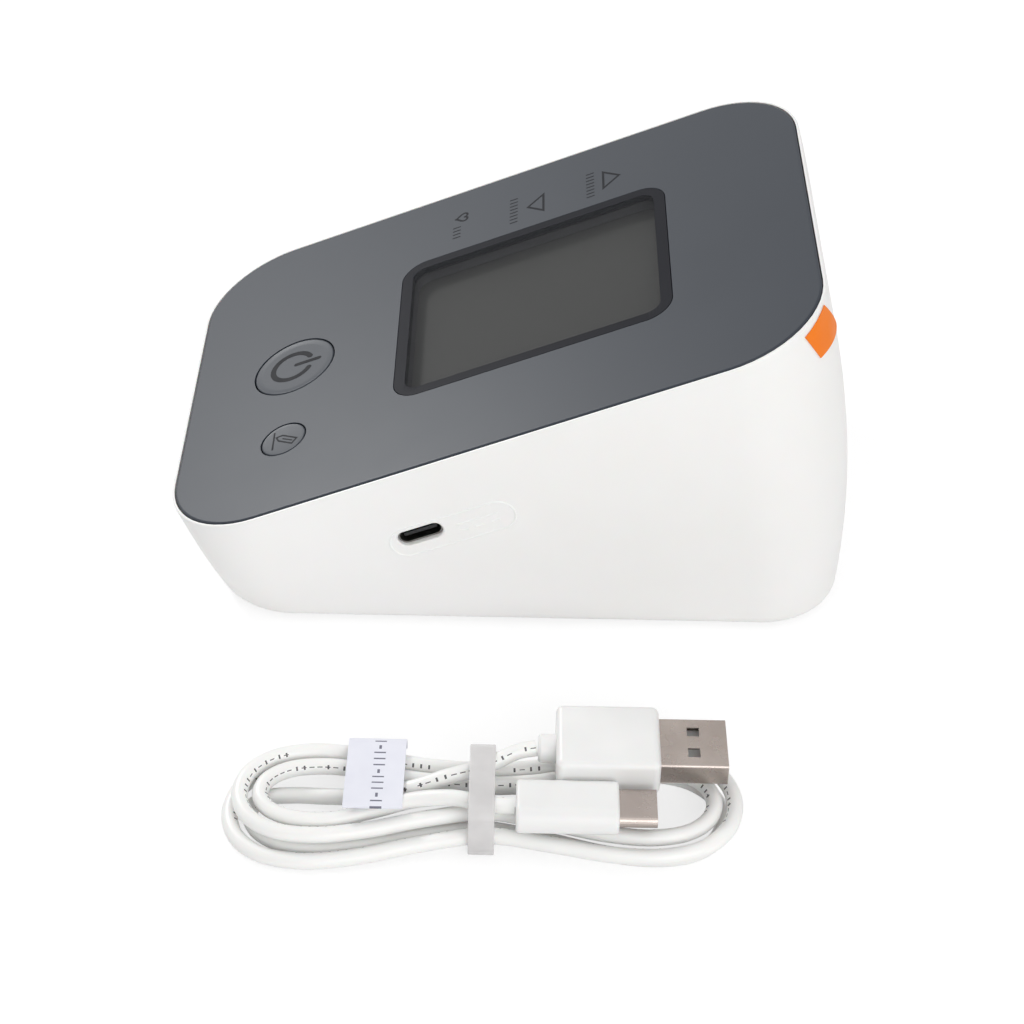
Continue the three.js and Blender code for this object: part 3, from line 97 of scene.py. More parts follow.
# Where things are: the housing's frame stands on its underside, the face's is tilted on it,
# the right wall's has Z out of the wall and X along the face, and the lead's lies beside them
body = {
    "shift": Vector((0, -4.709, 0.8)),
    "rimWidth": 95.6,
    "rimLength": 134.2,
    "rimRadius": 19.7,
    "faceHeight": 45.4,
    "faceTilt": 22.7,
    "leadPlace": (97.5, 1),
}
tiltTurn = Matrix.Rotation(math.radians(body["faceTilt"]), 4, "X")
bodyFrame = Matrix.Translation(body["shift"] * mm)
faceFrame = bodyFrame @ Matrix.Translation((0, 0, body["faceHeight"] * mm)) @ tiltTurn
wallFrame = faceFrame @ Matrix(((0, 0, 1, 0), (1, 0, 0, 0), (0, 1, 0, 0), (0, 0, 0, 1)))
leadX, leadY = body["leadPlace"]
leadFrame = Matrix.Translation(Vector((leadX, leadY + body["shift"].y, 0)) * mm)


# Outlines are lists of points in millimetres, round their own centre
def around(radius, angle, centre):
    return Vector((centre[0] + radius * math.cos(angle), centre[1] + radius * math.sin(angle)))


def circleOutline(radius, steps, centre):
    return [around(radius, 2 * math.pi * step / steps, centre) for step in range(steps)]


def arcPoints(radius, start, end, steps=48):
    turns = [start + (end - start) * step / steps for step in range(steps + 1)]
    return [around(radius, math.radians(turn), (0, 0)) for turn in turns]


def roundedOutline(width, length, radius, steps=12, centre=(0, 0)):
    corner = min(radius, width / 2, length / 2)
    reachX, reachY = width / 2 - corner, length / 2 - corner
    corners = [(reachX, reachY), (-reachX, reachY), (-reachX, -reachY), (reachX, -reachY)]
    points = []
    for quarter, (x, y) in enumerate(corners):
        for share in shares(steps):
            point = around(corner, math.pi / 2 * (quarter + share), (x, y)) + Vector(centre)
            if not points or (point - points[-1]).length > samePlace:
                points.append(point)
    if (points[0] - points[-1]).length < samePlace:
        points.pop()
    return points


# The outline of a stroke along a line of points, and the round cap at each of its ends
def roundCap(centre, start, steps=8):
    first = math.atan2(start.y, start.x)
    angles = [first - math.pi * step / steps for step in range(1, steps)]
    return [centre + Vector((math.cos(a), math.sin(a))) * start.length for a in angles]


def strokeOutline(points, width):
    line = [Vector(point) for point in points]
    sides = []
    for index in range(len(line)):
        before, after = line[max(index - 1, 0)], line[min(index + 1, len(line) - 1)]
        run = (after - before).normalized()
        sides.append(Vector((-run.y, run.x)) * width / 2)
    outline = [point + side for point, side in zip(line, sides)]
    outline += roundCap(line[-1], sides[-1])
    outline += [point - side for point, side in reversed(list(zip(line, sides)))]
    outline += roundCap(line[0], -sides[0])
    return outline


# A finished piece: its mesh in place, its finish by name, and the body that it rides on
def settle(name, mesh, rider, finish, replaces=(), sharp=35, weighted=True):
    mesh.name = name
    mesh.shade_smooth()
    mesh.set_sharp_from_angle(angle=math.radians(sharp))
    piece = addObject(name, mesh)
    mesh.materials.clear()
    mesh.materials.append(made[finish])
    if weighted:
        soften = piece.modifiers.new("facing", "WEIGHTED_NORMAL")
        soften.keep_sharp = True
    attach(piece, rider)
    if replaces:
        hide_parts(*replaces)
    return piece


# Normals are worked out after the move, because a mirrored frame turns a shape inside out
def meshOf(bm, frameOf=None, recalc=True):
    if frameOf:
        bm.transform(frameOf)
    bmesh.ops.remove_doubles(bm, verts=bm.verts, dist=weldReach)
    if recalc:
        bmesh.ops.recalc_face_normals(bm, faces=bm.faces)
    mesh = bpy.data.meshes.new("shape")
    bm.to_mesh(mesh)
    bm.free()
    return mesh


def meshFromObject(piece):
    graph = bpy.context.evaluated_depsgraph_get()
    mesh = bpy.data.meshes.new_from_object(piece.evaluated_get(graph))
    data = piece.data
    bpy.data.objects.remove(piece)
    if isinstance(data, bpy.types.Curve):
        bpy.data.curves.remove(data)
    return mesh


# The mesh of a curve through lines of places, each open or closed, in metres
def curveMesh(dimensions, lines, depth, segments, settings):
    data = bpy.data.curves.new("curve", "CURVE")
    data.dimensions = dimensions
    data.bevel_depth = depth * mm
    data.bevel_resolution = segments - 1
    for key, value in settings.items():
        setattr(data, key, value)
    for places, closed in lines:
        spline = data.splines.new("POLY")
        spline.points.add(len(places) - 1)
        for point, place in zip(spline.points, places):
            point.co = (*place, 1)
        spline.use_cyclic_u = closed
    return meshFromObject(addObject("curve", data))


# A flat plate with holes and rounded edges, in millimetres: its upper face lies at top
def flatPlate(loops, top, thickness, edge, segments, frameOf):
    lines = [([(x * mm, y * mm, 0) for x, y in loop], True) for loop in loops]
    settings = {"fill_mode": "BOTH", "extrude": (thickness / 2 - edge) * mm, "offset": -edge * mm}
    mesh = curveMesh("2D", lines, edge, segments, settings)
    bm = bmesh.new()
    bm.from_mesh(mesh)
    bpy.data.meshes.remove(mesh)
    bmesh.ops.translate(bm, verts=bm.verts, vec=(0, 0, (top - thickness / 2) * mm))
    return meshOf(bm, frameOf)


# A round tube along each line of places; its UV map runs along it and round it
def tubeMesh(lines, radius, sides):
    return curveMesh("3D", lines, radius, sides // 4, {"use_fill_caps": True})


# A turned piece: a profile of radius and height, in millimetres, spun about Z
def turned(profile, steps, frameOf):
    bm = bmesh.new()
    points = [bm.verts.new((radius * mm, 0, height * mm)) for radius, height in profile]
    for first, second in zip(points, points[1:]):
        bm.edges.new((first, second))
    geom = [*bm.verts, *bm.edges]
    turn = 2 * math.pi
    bmesh.ops.spin(bm, geom=geom, cent=(0, 0, 0), axis=(0, 0, 1), angle=turn, steps=steps, use_merge=True)
    return meshOf(bm, frameOf)


# An upright rod in the housing's frame
def rod(x, y, low, high, radius, steps=48):
    profile = [(0, low), (radius, low), (radius, high), (0, high)]
    return turned(profile, steps, shifted(bodyFrame, x, y))


# A box, in millimetres, with its edges rounded or left as they are
def softBox(low, high, edge, segments, frameOf):
    bm = bmesh.new()
    bmesh.ops.create_cube(bm, size=1)
    low, high = Vector(low), Vector(high)
    bmesh.ops.scale(bm, verts=bm.verts, vec=(high - low) * mm)
    bmesh.ops.translate(bm, verts=bm.verts, vec=(high + low) / 2 * mm)
    if edge:
        bmesh.ops.bevel(
            bm,
            geom=list(bm.edges),
            offset=edge * mm,
            segments=segments,
            affect="EDGES",
            profile=0.5,
            material=-1,
        )
    return meshOf(bm, frameOf)


# Boolean work on meshes that are already in place
def carved(mesh, tools, operation="DIFFERENCE"):
    piece = addObject("blank", mesh)
    helpers = [addObject("tool", tool) for tool in tools]
    for helper in helpers:
        step = piece.modifiers.new("carve", "BOOLEAN")
        step.operation = operation
        step.solver = "EXACT"
        step.object = helper
    carvedMesh = meshFromObject(piece)
    for helper in helpers:
        bpy.data.objects.remove(helper)
    return carvedMesh


# A shape lofted through rings of equal counts, in millimetres, and closed at both ends
def lofted(rings, frameOf):
    bm = bmesh.new()
    spot = bm.verts.layers.int.new("spot")
    ring = [bm.verts.new(Vector(point) * mm) for point in rings[0]]
    for index, vert in enumerate(ring):
        vert[spot] = index
    edges = [bm.edges.new(pair) for pair in zip(ring, ring[1:] + ring[:1])]
    bm.faces.new(ring)
    for points in rings[1:]:
        grown = bmesh.ops.extrude_edge_only(bm, edges=edges)["geom"]
        verts = {item for item in grown if isinstance(item, bmesh.types.BMVert)}
        lines = [item for item in grown if isinstance(item, bmesh.types.BMEdge)]
        edges = [line for line in lines if verts.issuperset(line.verts)]
        for vert in verts:
            vert.co = Vector(points[vert[spot]]) * mm
    bmesh.ops.edgeloop_fill(bm, edges=edges)
    return meshOf(bm, frameOf)


# An upright prism whose mouth widens over its last stretch, for cutting holes with a broken edge
def flaredPrism(outline, centre, low, high, flare, frameOf):
    middle = Vector(centre)
    rings = []
    for level, spread in ((low, 0), (high - flare, 0), (high + cutPast, flare + cutPast)):
        points = [p + (p - middle).normalized() * spread for p in outline]
        rings.append([(p.x, p.y, level) for p in points])
    return lofted(rings, frameOf)


# Finishes: patterns read Object coordinates, so they keep their real size.
# A colour is given by levels from 0 to 255 and turned into the shader's straight values.
def shade(red, green, blue):
    def straight(value):
        share = value / 255
        return share / 12.92 if share <= 0.04045 else ((share + 0.055) / 1.055) ** 2.4

    return (straight(red), straight(green), straight(blue), 1)


# A socket takes a value, or a link from another node's socket
def feed(tree, socket, value):
    if isinstance(value, bpy.types.NodeSocket):
        tree.links.new(value, socket)
    else:
        socket.default_value = value


def addNode(tree, kind, settings=None, inputs=None):
    node = tree.nodes.new("ShaderNode" + kind)
    for key, value in (settings or {}).items():
        setattr(node, key, value)
    for key, value in (inputs or {}).items():
        feed(tree, node.inputs[key], value)
    return node


def maths(tree, operation, *values):
    inputs = dict(enumerate(values))
    return addNode(tree, "Math", {"operation": operation}, inputs).outputs["Value"]


def cloud(tree, place, scale, detail=2.0, roughness=0.5):
    inputs = {"Vector": place, "Scale": scale, "Detail": detail, "Roughness": roughness}
    return addNode(tree, "TexNoise", inputs=inputs).outputs["Fac"]


# Most of a cloud's values lie between 0.3 and 0.7
def between(tree, factor, low, high):
    inputs = {"Value": factor, "From Min": 0.3, "From Max": 0.7, "To Min": low, "To Max": high}
    return addNode(tree, "MapRange", inputs=inputs).outputs["Result"]


def mixedColour(tree, factor, first, second):
    inputs = {"Factor": factor, 6: first, 7: second}
    return addNode(tree, "Mix", {"data_type": "RGBA"}, inputs).outputs[2]


def dice(tree, value):
    inputs = {"W": maths(tree, "FLOOR", value)}
    return addNode(tree, "TexWhiteNoise", {"noise_dimensions": "1D"}, inputs).outputs["Value"]


def axesOf(tree, coordinates):
    place = addNode(tree, "TexCoord").outputs[coordinates]
    split = addNode(tree, "SeparateXYZ", inputs={0: place})
    return split.outputs["X"], split.outputs["Y"]


# A row of thin strokes and dashes in groups, kept between two limits across it. These values say
# where an upright and a dash stand in a cell, how far a dash reaches, and how many cells hold one.
strokes = {"upright": 0.35, "dash": 0.42, "dashReach": 0.32, "kindReach": 0.2}


def strokeRow(tree, along, across, look, limits):
    run = maths(tree, "DIVIDE", along, look["cell"] * look["unit"])
    group = dice(tree, maths(tree, "DIVIDE", run, look["group"]))
    chosen = maths(tree, "LESS_THAN", group, look["filled"])
    share = maths(tree, "DIVIDE", maths(tree, "SUBTRACT", across, limits[0]), limits[1] - limits[0])
    inside = maths(tree, "COMPARE", share, 0.5, 0.5)
    place = maths(tree, "FRACT", run)
    kind = dice(tree, run)
    upright = maths(tree, "COMPARE", place, strokes["upright"], look["stroke"])
    upright = maths(tree, "MULTIPLY", upright, maths(tree, "LESS_THAN", kind, look["upright"]))
    level = maths(tree, "COMPARE", share, 0.5, look["stroke"])
    within = maths(tree, "COMPARE", place, strokes["dash"], strokes["dashReach"])
    chance = maths(tree, "COMPARE", kind, look["dash"], strokes["kindReach"])
    dash = maths(tree, "MULTIPLY", maths(tree, "MULTIPLY", level, within), chance)
    shown = maths(tree, "MULTIPLY", chosen, inside)
    return maths(tree, "MULTIPLY", shown, maths(tree, "MAXIMUM", upright, dash))


def newFinish(name):
    finish = bpy.data.materials.new(name)
    finish.use_nodes = True
    return finish, addNode(finish.node_tree, "TexCoord").outputs["Object"]


def fillShader(tree, sockets):
    for socket, value in sockets.items():
        feed(tree, tree.nodes["Principled BSDF"].inputs[socket], value)


def makeFinish(name, look):
    finish, place = newFinish(name)
    tree = finish.node_tree
    drift = between(tree, cloud(tree, place, look["patch"]), 0, 1)
    smear = between(tree, cloud(tree, place, look["smear"], detail=3), *look["roughness"])
    grain = cloud(tree, place, look["grain"], detail=3, roughness=0.6)
    relief = {"Height": grain, "Strength": look["bump"], "Distance": look["depth"] * mm}
    sockets = {
        "Base Color": mixedColour(tree, drift, shade(*look["dark"]), shade(*look["light"])),
        "Roughness": smear,
        "Normal": addNode(tree, "Bump", inputs=relief).outputs["Normal"],
        **look.get("sockets", {}),
    }
    fillShader(tree, sockets)
    return finish


# A finish in one row: its darkest and lightest colour, how fine its patches and smears are,
# its roughness, how fine its grain is, the strength and depth of the relief, and other sockets
def row(*values):
    parts = ("dark", "light", "patch", "smear", "roughness", "grain", "bump", "depth", "sockets")
    return dict(zip(parts, values))


def gloss(level):
    return {"Specular IOR Level": level}


def waxy(weight, reach=0.0015):
    return {"Subsurface Weight": weight, "Subsurface Scale": reach}


def metal(share=1.0):
    return {"Metallic": share}


finishes = {
    "white_shell": row(
        (243, 242, 240), (247, 246, 245), 30, 140, (0.36, 0.46), 5200, 0.16, 0.05, waxy(0.06)
    ),
    "grey_face": row((44, 50, 59), (47, 53, 62), 24, 90, (0.365, 0.39), 2600, 0.03, 0.02, gloss(0.32)),
    "grey_key": row((44, 50, 59), (47, 53, 62), 50, 160, (0.36, 0.4), 3200, 0.04, 0.02, gloss(0.3)),
    "dark_bezel": row((86, 86, 89), (92, 92, 95), 60, 200, (0.4, 0.5), 1500, 0.01, 0.01, gloss(0.1)),
    "window_band": row((27, 28, 34), (30, 31, 37), 60, 160, (0.34, 0.38), 1500, 0.01, 0.01, gloss(0.06)),
    "display_glass": row(
        (103, 103, 100), (106, 106, 103), 12, 60, (0.34, 0.4), 900, 0.01, 0.01, gloss(0.15)
    ),
    "dark_ink": row((33, 34, 38), (38, 39, 43), 200, 400, (0.45, 0.55), 6000, 0.05, 0.02, gloss(0.08)),
    "holder_plastic": row((36, 37, 40), (46, 47, 50), 80, 200, (0.5, 0.62), 4000, 0.2, 0.05),
    "soft_strip": row((60, 60, 60), (92, 90, 88), 900, 300, (0.6, 0.75), 3000, 0.2, 0.05),
    "board_green": row((24, 70, 44), (36, 92, 58), 300, 200, (0.35, 0.5), 2500, 0.25, 0.04),
    "black_plastic": row((22, 23, 25), (30, 31, 33), 150, 240, (0.45, 0.6), 5000, 0.2, 0.04),
    "bright_steel": row(
        (166, 156, 150), (178, 168, 162), 120, 300, (0.22, 0.3), 1800, 0.025, 0.01, metal()
    ),
    "socket_steel": row((120, 118, 116), (142, 140, 137), 200, 300, (0.3, 0.42), 3000, 0.1, 0.02, metal()),
    "silicone": row(
        (206, 209, 206), (222, 225, 222), 90, 160, (0.5, 0.62), 2600, 0.12, 0.05, waxy(0.2, 0.002)
    ),
    "foot_rubber": row((74, 76, 78), (88, 90, 92), 260, 300, (0.75, 0.9), 2600, 0.35, 0.08),
    "cell_wrap": row((40, 52, 66), (48, 62, 78), 80, 160, (0.25, 0.38), 1600, 0.06, 0.03, metal(0.25)),
    "orange_mark": row(
        (244, 124, 16), (248, 130, 22), 130, 260, (0.5, 0.62), 3400, 0.12, 0.03, gloss(0.25)
    ),
    "band_film": row(
        (226, 224, 224), (233, 231, 231), 300, 380, (0.3, 0.42), 1400, 0.12, 0.05, {"Alpha": 0.62}
    ),
    "plug_white": row(
        (235, 235, 234), (240, 240, 239), 90, 220, (0.34, 0.45), 3600, 0.14, 0.05, waxy(0.08)
    ),
    "plate_paper": row((226, 227, 228), (234, 235, 236), 80, 200, (0.5, 0.6), 3000, 0.1, 0.03),
}
made = {name: makeFinish(name, look) for name, look in finishes.items()}
print("finishes made")

# Studio: a floor that looks white and keeps the shadow, soft lamps and a pale world
studio = {
    "floorSize": 4.0,
    "floorShade": 0.8,
    "veil": 0.62,
    "veilGlow": 0.7,
    "worldStrength": 0.5,
}
lamps = {
    "overhead": {"place": (0.25, 0.1, 0.9), "aim": (0.02, 0, 0.02), "size": 0.9, "power": 1.25},
    "besideCamera": {"place": (0.8, 0.3, 0.43), "aim": (0.02, 0, 0.02), "size": 0.6, "power": 3.5},
    "acrossTheFace": {"place": (-0.554, -0.529, 0.543), "aim": (0, -0.03, 0.04), "size": 0.2, "power": 3.4},
}


# Rays that show the background: straight from the camera, mirrored, or through glass
def backgroundRays(tree):
    path = addNode(tree, "LightPath").outputs
    seen = maths(tree, "MAXIMUM", path["Is Camera Ray"], path["Is Glossy Ray"])
    return maths(tree, "MAXIMUM", seen, path["Is Transmission Ray"])


def diffuse(tree, level):
    return addNode(tree, "BsdfDiffuse", inputs={"Color": (level, level, level, 1)}).outputs[0]


def makeFloor():
    bm = bmesh.new()
    bmesh.ops.create_grid(bm, x_segments=1, y_segments=1, size=studio["floorSize"] / 2)
    floor = addObject("studioFloor", meshOf(bm, recalc=False))
    finish = bpy.data.materials.new("studio_floor")
    finish.use_nodes = True
    tree = finish.node_tree
    tree.nodes.clear()
    plain = diffuse(tree, studio["floorShade"])
    shadowed = diffuse(tree, 1 - studio["veil"])
    glow = addNode(tree, "Emission", inputs={"Strength": studio["veilGlow"]}).outputs[0]
    seen = addNode(tree, "AddShader", inputs={0: shadowed, 1: glow}).outputs[0]
    choice = addNode(tree, "MixShader", inputs={0: backgroundRays(tree), 1: plain, 2: seen})
    addNode(tree, "OutputMaterial", inputs={"Surface": choice.outputs[0]})
    floor.data.materials.append(finish)


def makeWorld():
    world = bpy.data.worlds.new("studioWorld")
    bpy.context.scene.world = world
    world.use_nodes = True
    tree = world.node_tree
    levels = {"Value": backgroundRays(tree), "To Min": studio["worldStrength"], "To Max": 1.0}
    strength = addNode(tree, "MapRange", inputs=levels).outputs["Result"]
    back = tree.nodes["Background"].inputs
    feed(tree, back["Color"], (1, 1, 1, 1))
    feed(tree, back["Strength"], strength)


def makeLamps():
    for name, lamp in lamps.items():
        data = bpy.data.lights.new(name, "AREA")
        data.shape = "SQUARE"
        data.size = lamp["size"]
        data.energy = lamp["power"]
        light = addObject(name, data)
        place, aim = Vector(lamp["place"]), Vector(lamp["aim"])
        light.location = place
        light.rotation_euler = (aim - place).to_track_quat("-Z", "Y").to_euler()


makeFloor()
makeWorld()
makeLamps()
bpy.context.scene.view_settings.view_transform = "Standard"
print("studio ready")

# Power lead: the same route as the frame's own hank, in millimetres round the middle of the hank
lead = {
    "radius": 1.5,
    "length": 0.694,  # m
    "halfLength": 46,
    "halfWidth": 14.7,
    "waistDraw": 6.8,
    "waistReach": 22,
    "endPower": 6,
    "reverse": 1.5,
    "climbReach": 0.25,
    "startTurn": 0.25,
    "endTurn": 3.34,
    "step": 3.65,
    "layer": 3.5,
    "lean": 0.8,
    "stepsPerTurn": 24,
    "bandLift": 0.8,
    "bandLiftReach": 9,
    "chargerEnd": [
        (-7.2, 9.5, 11.3),
        (-6.6, 6.2, 11),
        (-3.9, 0, 9.5),
        (-2.2, -6, 8.8),
        (-1.5, -13, 6.2),
        (-1.7, -20, 3.8),
        (-2.9, -28, 2.3),
        (-3.6, -34, 1.7),
        (-2.9, -39, 1.55),
    ],
    "monitorEnd": [
        (5.3, -27, 4.95),
        (3.4, -19, 5.7),
        (2.2, -12, 7.2),
        (3.3, -5, 9.1),
        (5, 0, 9.7),
        (6.1, 4.2, 10.3),
        (6.1, 5.7, 10.3),
    ],
    "sides": 20,
    "spacing": 0.75,
}


def smoothStep(value, low, high):
    share = min(max((value - low) / (high - low), 0), 1)
    return share * share * (3 - 2 * share)


def hankPoint(turn):
    angle = 1.5 * math.pi - 2 * math.pi * turn
    inward = lead["step"] * abs(turn - lead["reverse"])
    climb = smoothStep(turn, lead["reverse"] - lead["climbReach"], lead["reverse"] + lead["climbReach"])
    along = (lead["halfLength"] - inward) * math.cos(angle)
    side = math.copysign(math.sqrt(1 - abs(math.cos(angle)) ** lead["endPower"]), math.sin(angle))
    waist = lead["waistDraw"] * math.exp(-((along / lead["waistReach"]) ** 2))
    across = side * (lead["halfWidth"] - inward - waist) - lead["lean"] * climb
    lift = lead["bandLift"] * math.exp(-((along / lead["bandLiftReach"]) ** 2))
    return Vector((across, along, lead["radius"] + lift + lead["layer"] * climb))


def leadPoints():
    turns = lead["endTurn"] - lead["startTurn"]
    count = round(turns * lead["stepsPerTurn"])
    hank = [hankPoint(lead["startTurn"] + turns * step / count) for step in range(count + 1)]
    return [*map(Vector, lead["chargerEnd"]), *hank, *map(Vector, lead["monitorEnd"])]


# A smooth curve through points, with the pull of each one set by its distance from the next
def smoothRoute(points, parts=16):
    ends = [points[0] * 2 - points[1], *points, points[-1] * 2 - points[-2]]
    route = []
    for a, b, c, d in zip(ends, ends[1:], ends[2:], ends[3:]):
        first, middle, last = [(q - p).length ** 0.5 for p, q in ((a, b), (b, c), (c, d))]
        leave = ((b - a) / first - (c - a) / (first + middle) + (c - b) / middle) * middle
        reach = ((c - b) / middle - (d - b) / (middle + last) + (d - c) / last) * middle
        for t in shares(parts)[:-1]:
            bend = (2 * t**3 - 3 * t**2 + 1) * b + (3 * t**2 - 2 * t**3) * c
            route.append(bend + (t**3 - 2 * t**2 + t) * leave + (t**3 - t**2) * reach)
    route.append(points[-1])
    return route


def evenly(route, spacing):
    reach = [0.0]
    for first, second in zip(route, route[1:]):
        reach.append(reach[-1] + (second - first).length)
    count = max(2, round(reach[-1] / spacing))
    points, index = [], 0
    for step in range(count + 1):
        goal = reach[-1] * step / count
        while index < len(route) - 2 and reach[index + 1] < goal:
            index += 1
        share = (goal - reach[index]) / (reach[index + 1] - reach[index])
        points.append(route[index].lerp(route[index + 1], share))
    return points


# Cable sheath: smooth white, with a row of thin strokes and dashes along its inner side
jacket = {
    **row((241, 241, 239), (246, 246, 244), 60, 300, (0.3, 0.42), 1500, 0.08, 0.05, waxy(0.08)),
    "ink": (84, 84, 86),
    "cell": 1.5,
    "unit": mm / lead["length"],
    "group": 9,
    "filled": 0.62,
    "stroke": 0.12,
    "upright": 0.5,
    "dash": 0.62,
    "limits": (0.01, 0.092),
}


def makePrinted(name, look, coordinates, limits):
    finish = makeFinish(name, look)
    tree = finish.node_tree
    socket = tree.nodes["Principled BSDF"].inputs["Base Color"]
    base = socket.links[0].from_socket
    marks = strokeRow(tree, *axesOf(tree, coordinates), look, limits)
    feed(tree, socket, mixedColour(tree, marks, base, shade(*look["ink"])))
    return finish


def makeCable():
    route = evenly(smoothRoute(leadPoints()), lead["spacing"])
    mesh = tubeMesh([([place * mm for place in route], False)], lead["radius"], lead["sides"])
    mesh.transform(leadFrame)
    piece = settle("lead_cable", mesh, "power_lead", "lead_jacket", ["lead_hank"], weighted=False)
    return piece, [leadFrame @ (point * mm) for point in route]


made["lead_jacket"] = makePrinted("lead_jacket", jacket, "UV", jacket["limits"])
cable, cablePath = makeCable()
print("cable laid")

# Band round the hank's waist, a little out of true
band = {
    "width": 4.6,
    "inside": (18.8, 11),
    "corner": 3.2,
    "cornerSteps": 14,
    "middle": (0.5, 6),
    "thickness": 0.5,
    "edge": 0.18,
    "edgeSteps": 3,
}


# The lead's frame, moved to a place and turned so that Z runs towards the front
def standing(place=(0, 0, 0)):
    return shifted(leadFrame, *place) @ Matrix.Rotation(math.pi / 2, 4, "X")


def bandOutline(spread):
    width, height = (size + 2 * spread for size in band["inside"])
    return roundedOutline(width, height, band["corner"] + spread, band["cornerSteps"], band["middle"])


def makeBand():
    loops = [bandOutline(band["thickness"]), bandOutline(0)]
    width = band["width"]
    mesh = flatPlate(loops, width / 2, width, band["edge"], band["edgeSteps"], standing())
    return settle("lead_band", mesh, "power_lead", "band_film", ["lead_tie"])


# Paper flag folded over the far strands, with one row of thin strokes and dashes
flag = {
    "place": -19.2,
    "width": 10.5,
    "thickness": 0.3,
    "printShift": 0.6,
    "printWidth": 2.1,
    "profile": [(-14.1, 3.6), (-14, 5.3), (-13, 6.7), (-11, 7.2), (-4, 7.6), (0.5, 8.1), (5.6, 8.4)],
    "parts": 10,
    "spacing": 0.4,
}
flagPaper = {
    **row((228, 229, 239), (234, 235, 244), 140, 220, (0.62, 0.75), 2400, 0.1, 0.03),
    "ink": (112, 113, 128),
    "cell": 1.6,
    "unit": mm,
    "group": 40,
    "filled": 1.0,
    "stroke": 0.11,
    "upright": 0.66,
    "dash": 0.8,
}


def makeFlagPaper():
    middle = flag["place"] * mm + leadFrame.translation.y + flag["printShift"] * mm
    reach = flag["printWidth"] / 2 * mm
    return makePrinted("flag_paper", flagPaper, "Object", (middle - reach, middle + reach))


# A sheet's faces are turned to look along an axis, because only then does its thickness grow inwards
def thickened(bm, axis, thickness, frameOf):
    bmesh.ops.recalc_face_normals(bm, faces=bm.faces)
    if sum(face.normal[axis] for face in bm.faces) < 0:
        bmesh.ops.reverse_faces(bm, faces=bm.faces)
    bmesh.ops.solidify(bm, geom=bm.faces, thickness=-thickness * mm)
    return meshOf(bm, frameOf)


def makeFlag():
    line = smoothRoute([Vector((x, 0, z)) for x, z in flag["profile"]], flag["parts"])
    bm = bmesh.new()
    low = flag["place"] - flag["width"] / 2
    verts = [bm.verts.new((p.x * mm, low * mm, p.z * mm)) for p in evenly(line, flag["spacing"])]
    edges = [bm.edges.new(pair) for pair in zip(verts, verts[1:])]
    grown = bmesh.ops.extrude_edge_only(bm, edges=edges)["geom"]
    moved = [item for item in grown if isinstance(item, bmesh.types.BMVert)]
    bmesh.ops.translate(bm, verts=moved, vec=(0, flag["width"] * mm, 0))
    mesh = thickened(bm, 2, flag["thickness"], leadFrame)
    return settle("paper_flag", mesh, "power_lead", "flag_paper", ["lead_label"])


# Plug for a charger: a boxy grip with a neck, on the far side of the hank
chargerPlug = {
    "place": (-7.2, 13, 11.3),
    "size": (15.5, 18.5, 7.9),
    "edge": 1.3,
    "edgeSteps": 5,
    "seat": (12.6, 2.3, 5.1),
    "seatEdge": 0.4,
    "seatEdgeSteps": 2,
    "neck": [(0, -1), (2.6, -1), (2.6, 2.7), (2.2, 3.2), (0, 3.2)],
    "neckSteps": 40,
}


def makeChargerGrip():
    plug = chargerPlug
    x, y, z = plug["place"]
    width, length, height = plug["size"]
    low = (x - width / 2, y, z - height / 2)
    high = (x + width / 2, y + length, z + height / 2)
    grip = softBox(low, high, plug["edge"], plug["edgeSteps"], leadFrame)
    neck = turned(plug["neck"], plug["neckSteps"], standing(plug["place"]))
    width, depth, height = plug["seat"]
    low = (x - width / 2, y + length - depth, z - height / 2)
    high = (x + width / 2, y + length + cutPast, z + height / 2)
    hole = softBox(low, high, plug["seatEdge"], plug["seatEdgeSteps"], leadFrame)
    mesh = carved(carved(grip, [neck], "UNION"), [hole])
    return settle("charger_plug_grip", mesh, "power_lead", "plug_white", ["usb_a_overmold"])


# Plug for the monitor: a flat grip with round sides, on the near side of the hank
monitorPlug = {
    "place": (6.1, 6, 10.3),
    "size": (10.4, 18, 5.8),
    "side": 2.7,
    "edge": 0.7,
    "edgeSteps": 5,
    "seat": (8.9, 1.8, 3.0),
}


def makeMonitorGrip():
    plug = monitorPlug
    width, length, height = plug["size"]
    upright = standing(plug["place"])
    outline = roundedOutline(width, height, plug["side"])
    grip = flatPlate([outline], 0, length, plug["edge"], plug["edgeSteps"], upright)
    width, depth, height = plug["seat"]
    seat = roundedOutline(width, height, height / 2)
    hole = flatPlate([seat], -length + depth, depth + cutPast, 0, 1, upright)
    mesh = carved(grip, [hole])
    return settle("monitor_plug_grip", mesh, "power_lead", "plug_white", ["usb_c_overmold"])


# Names that are numbered from 1, and names that end alike
def numbered(name, count):
    return [name + "_" + str(index + 1) for index in range(count)]


def ending(kind, *names):
    return [name + "_" + kind for name in names]


# Frame pieces that keep their own shape get a finish, and some of them a soft edge, in millimetres
feet = numbered("foot", 4)
softEdges = {
    "usb_a_shell": 0.08,
    "usb_a_insert": 0.15,
    "usb_c_shell": 0.06,
    "usb_socket": 0.08,
    "battery_door": 0.3,
    **dict.fromkeys(feet, 0.3),
}
softening = {"weld": 1e-6, "segments": 2, "angle": 30}


def dress(node, finish):
    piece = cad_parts[node]
    for slot in piece.material_slots:
        slot.material = made[finish]
    if not piece.material_slots:
        piece.data.materials.append(made[finish])
    if node in softEdges:
        weld = piece.modifiers.new("weld", "WELD")
        weld.merge_threshold = softening["weld"]
        soften = piece.modifiers.new("soften", "BEVEL")
        soften.width = softEdges[node] * mm
        soften.segments = softening["segments"]
        soften.limit_method = "ANGLE"
        soften.angle_limit = math.radians(softening["angle"])
        soften.use_clamp_overlap = True
    return piece


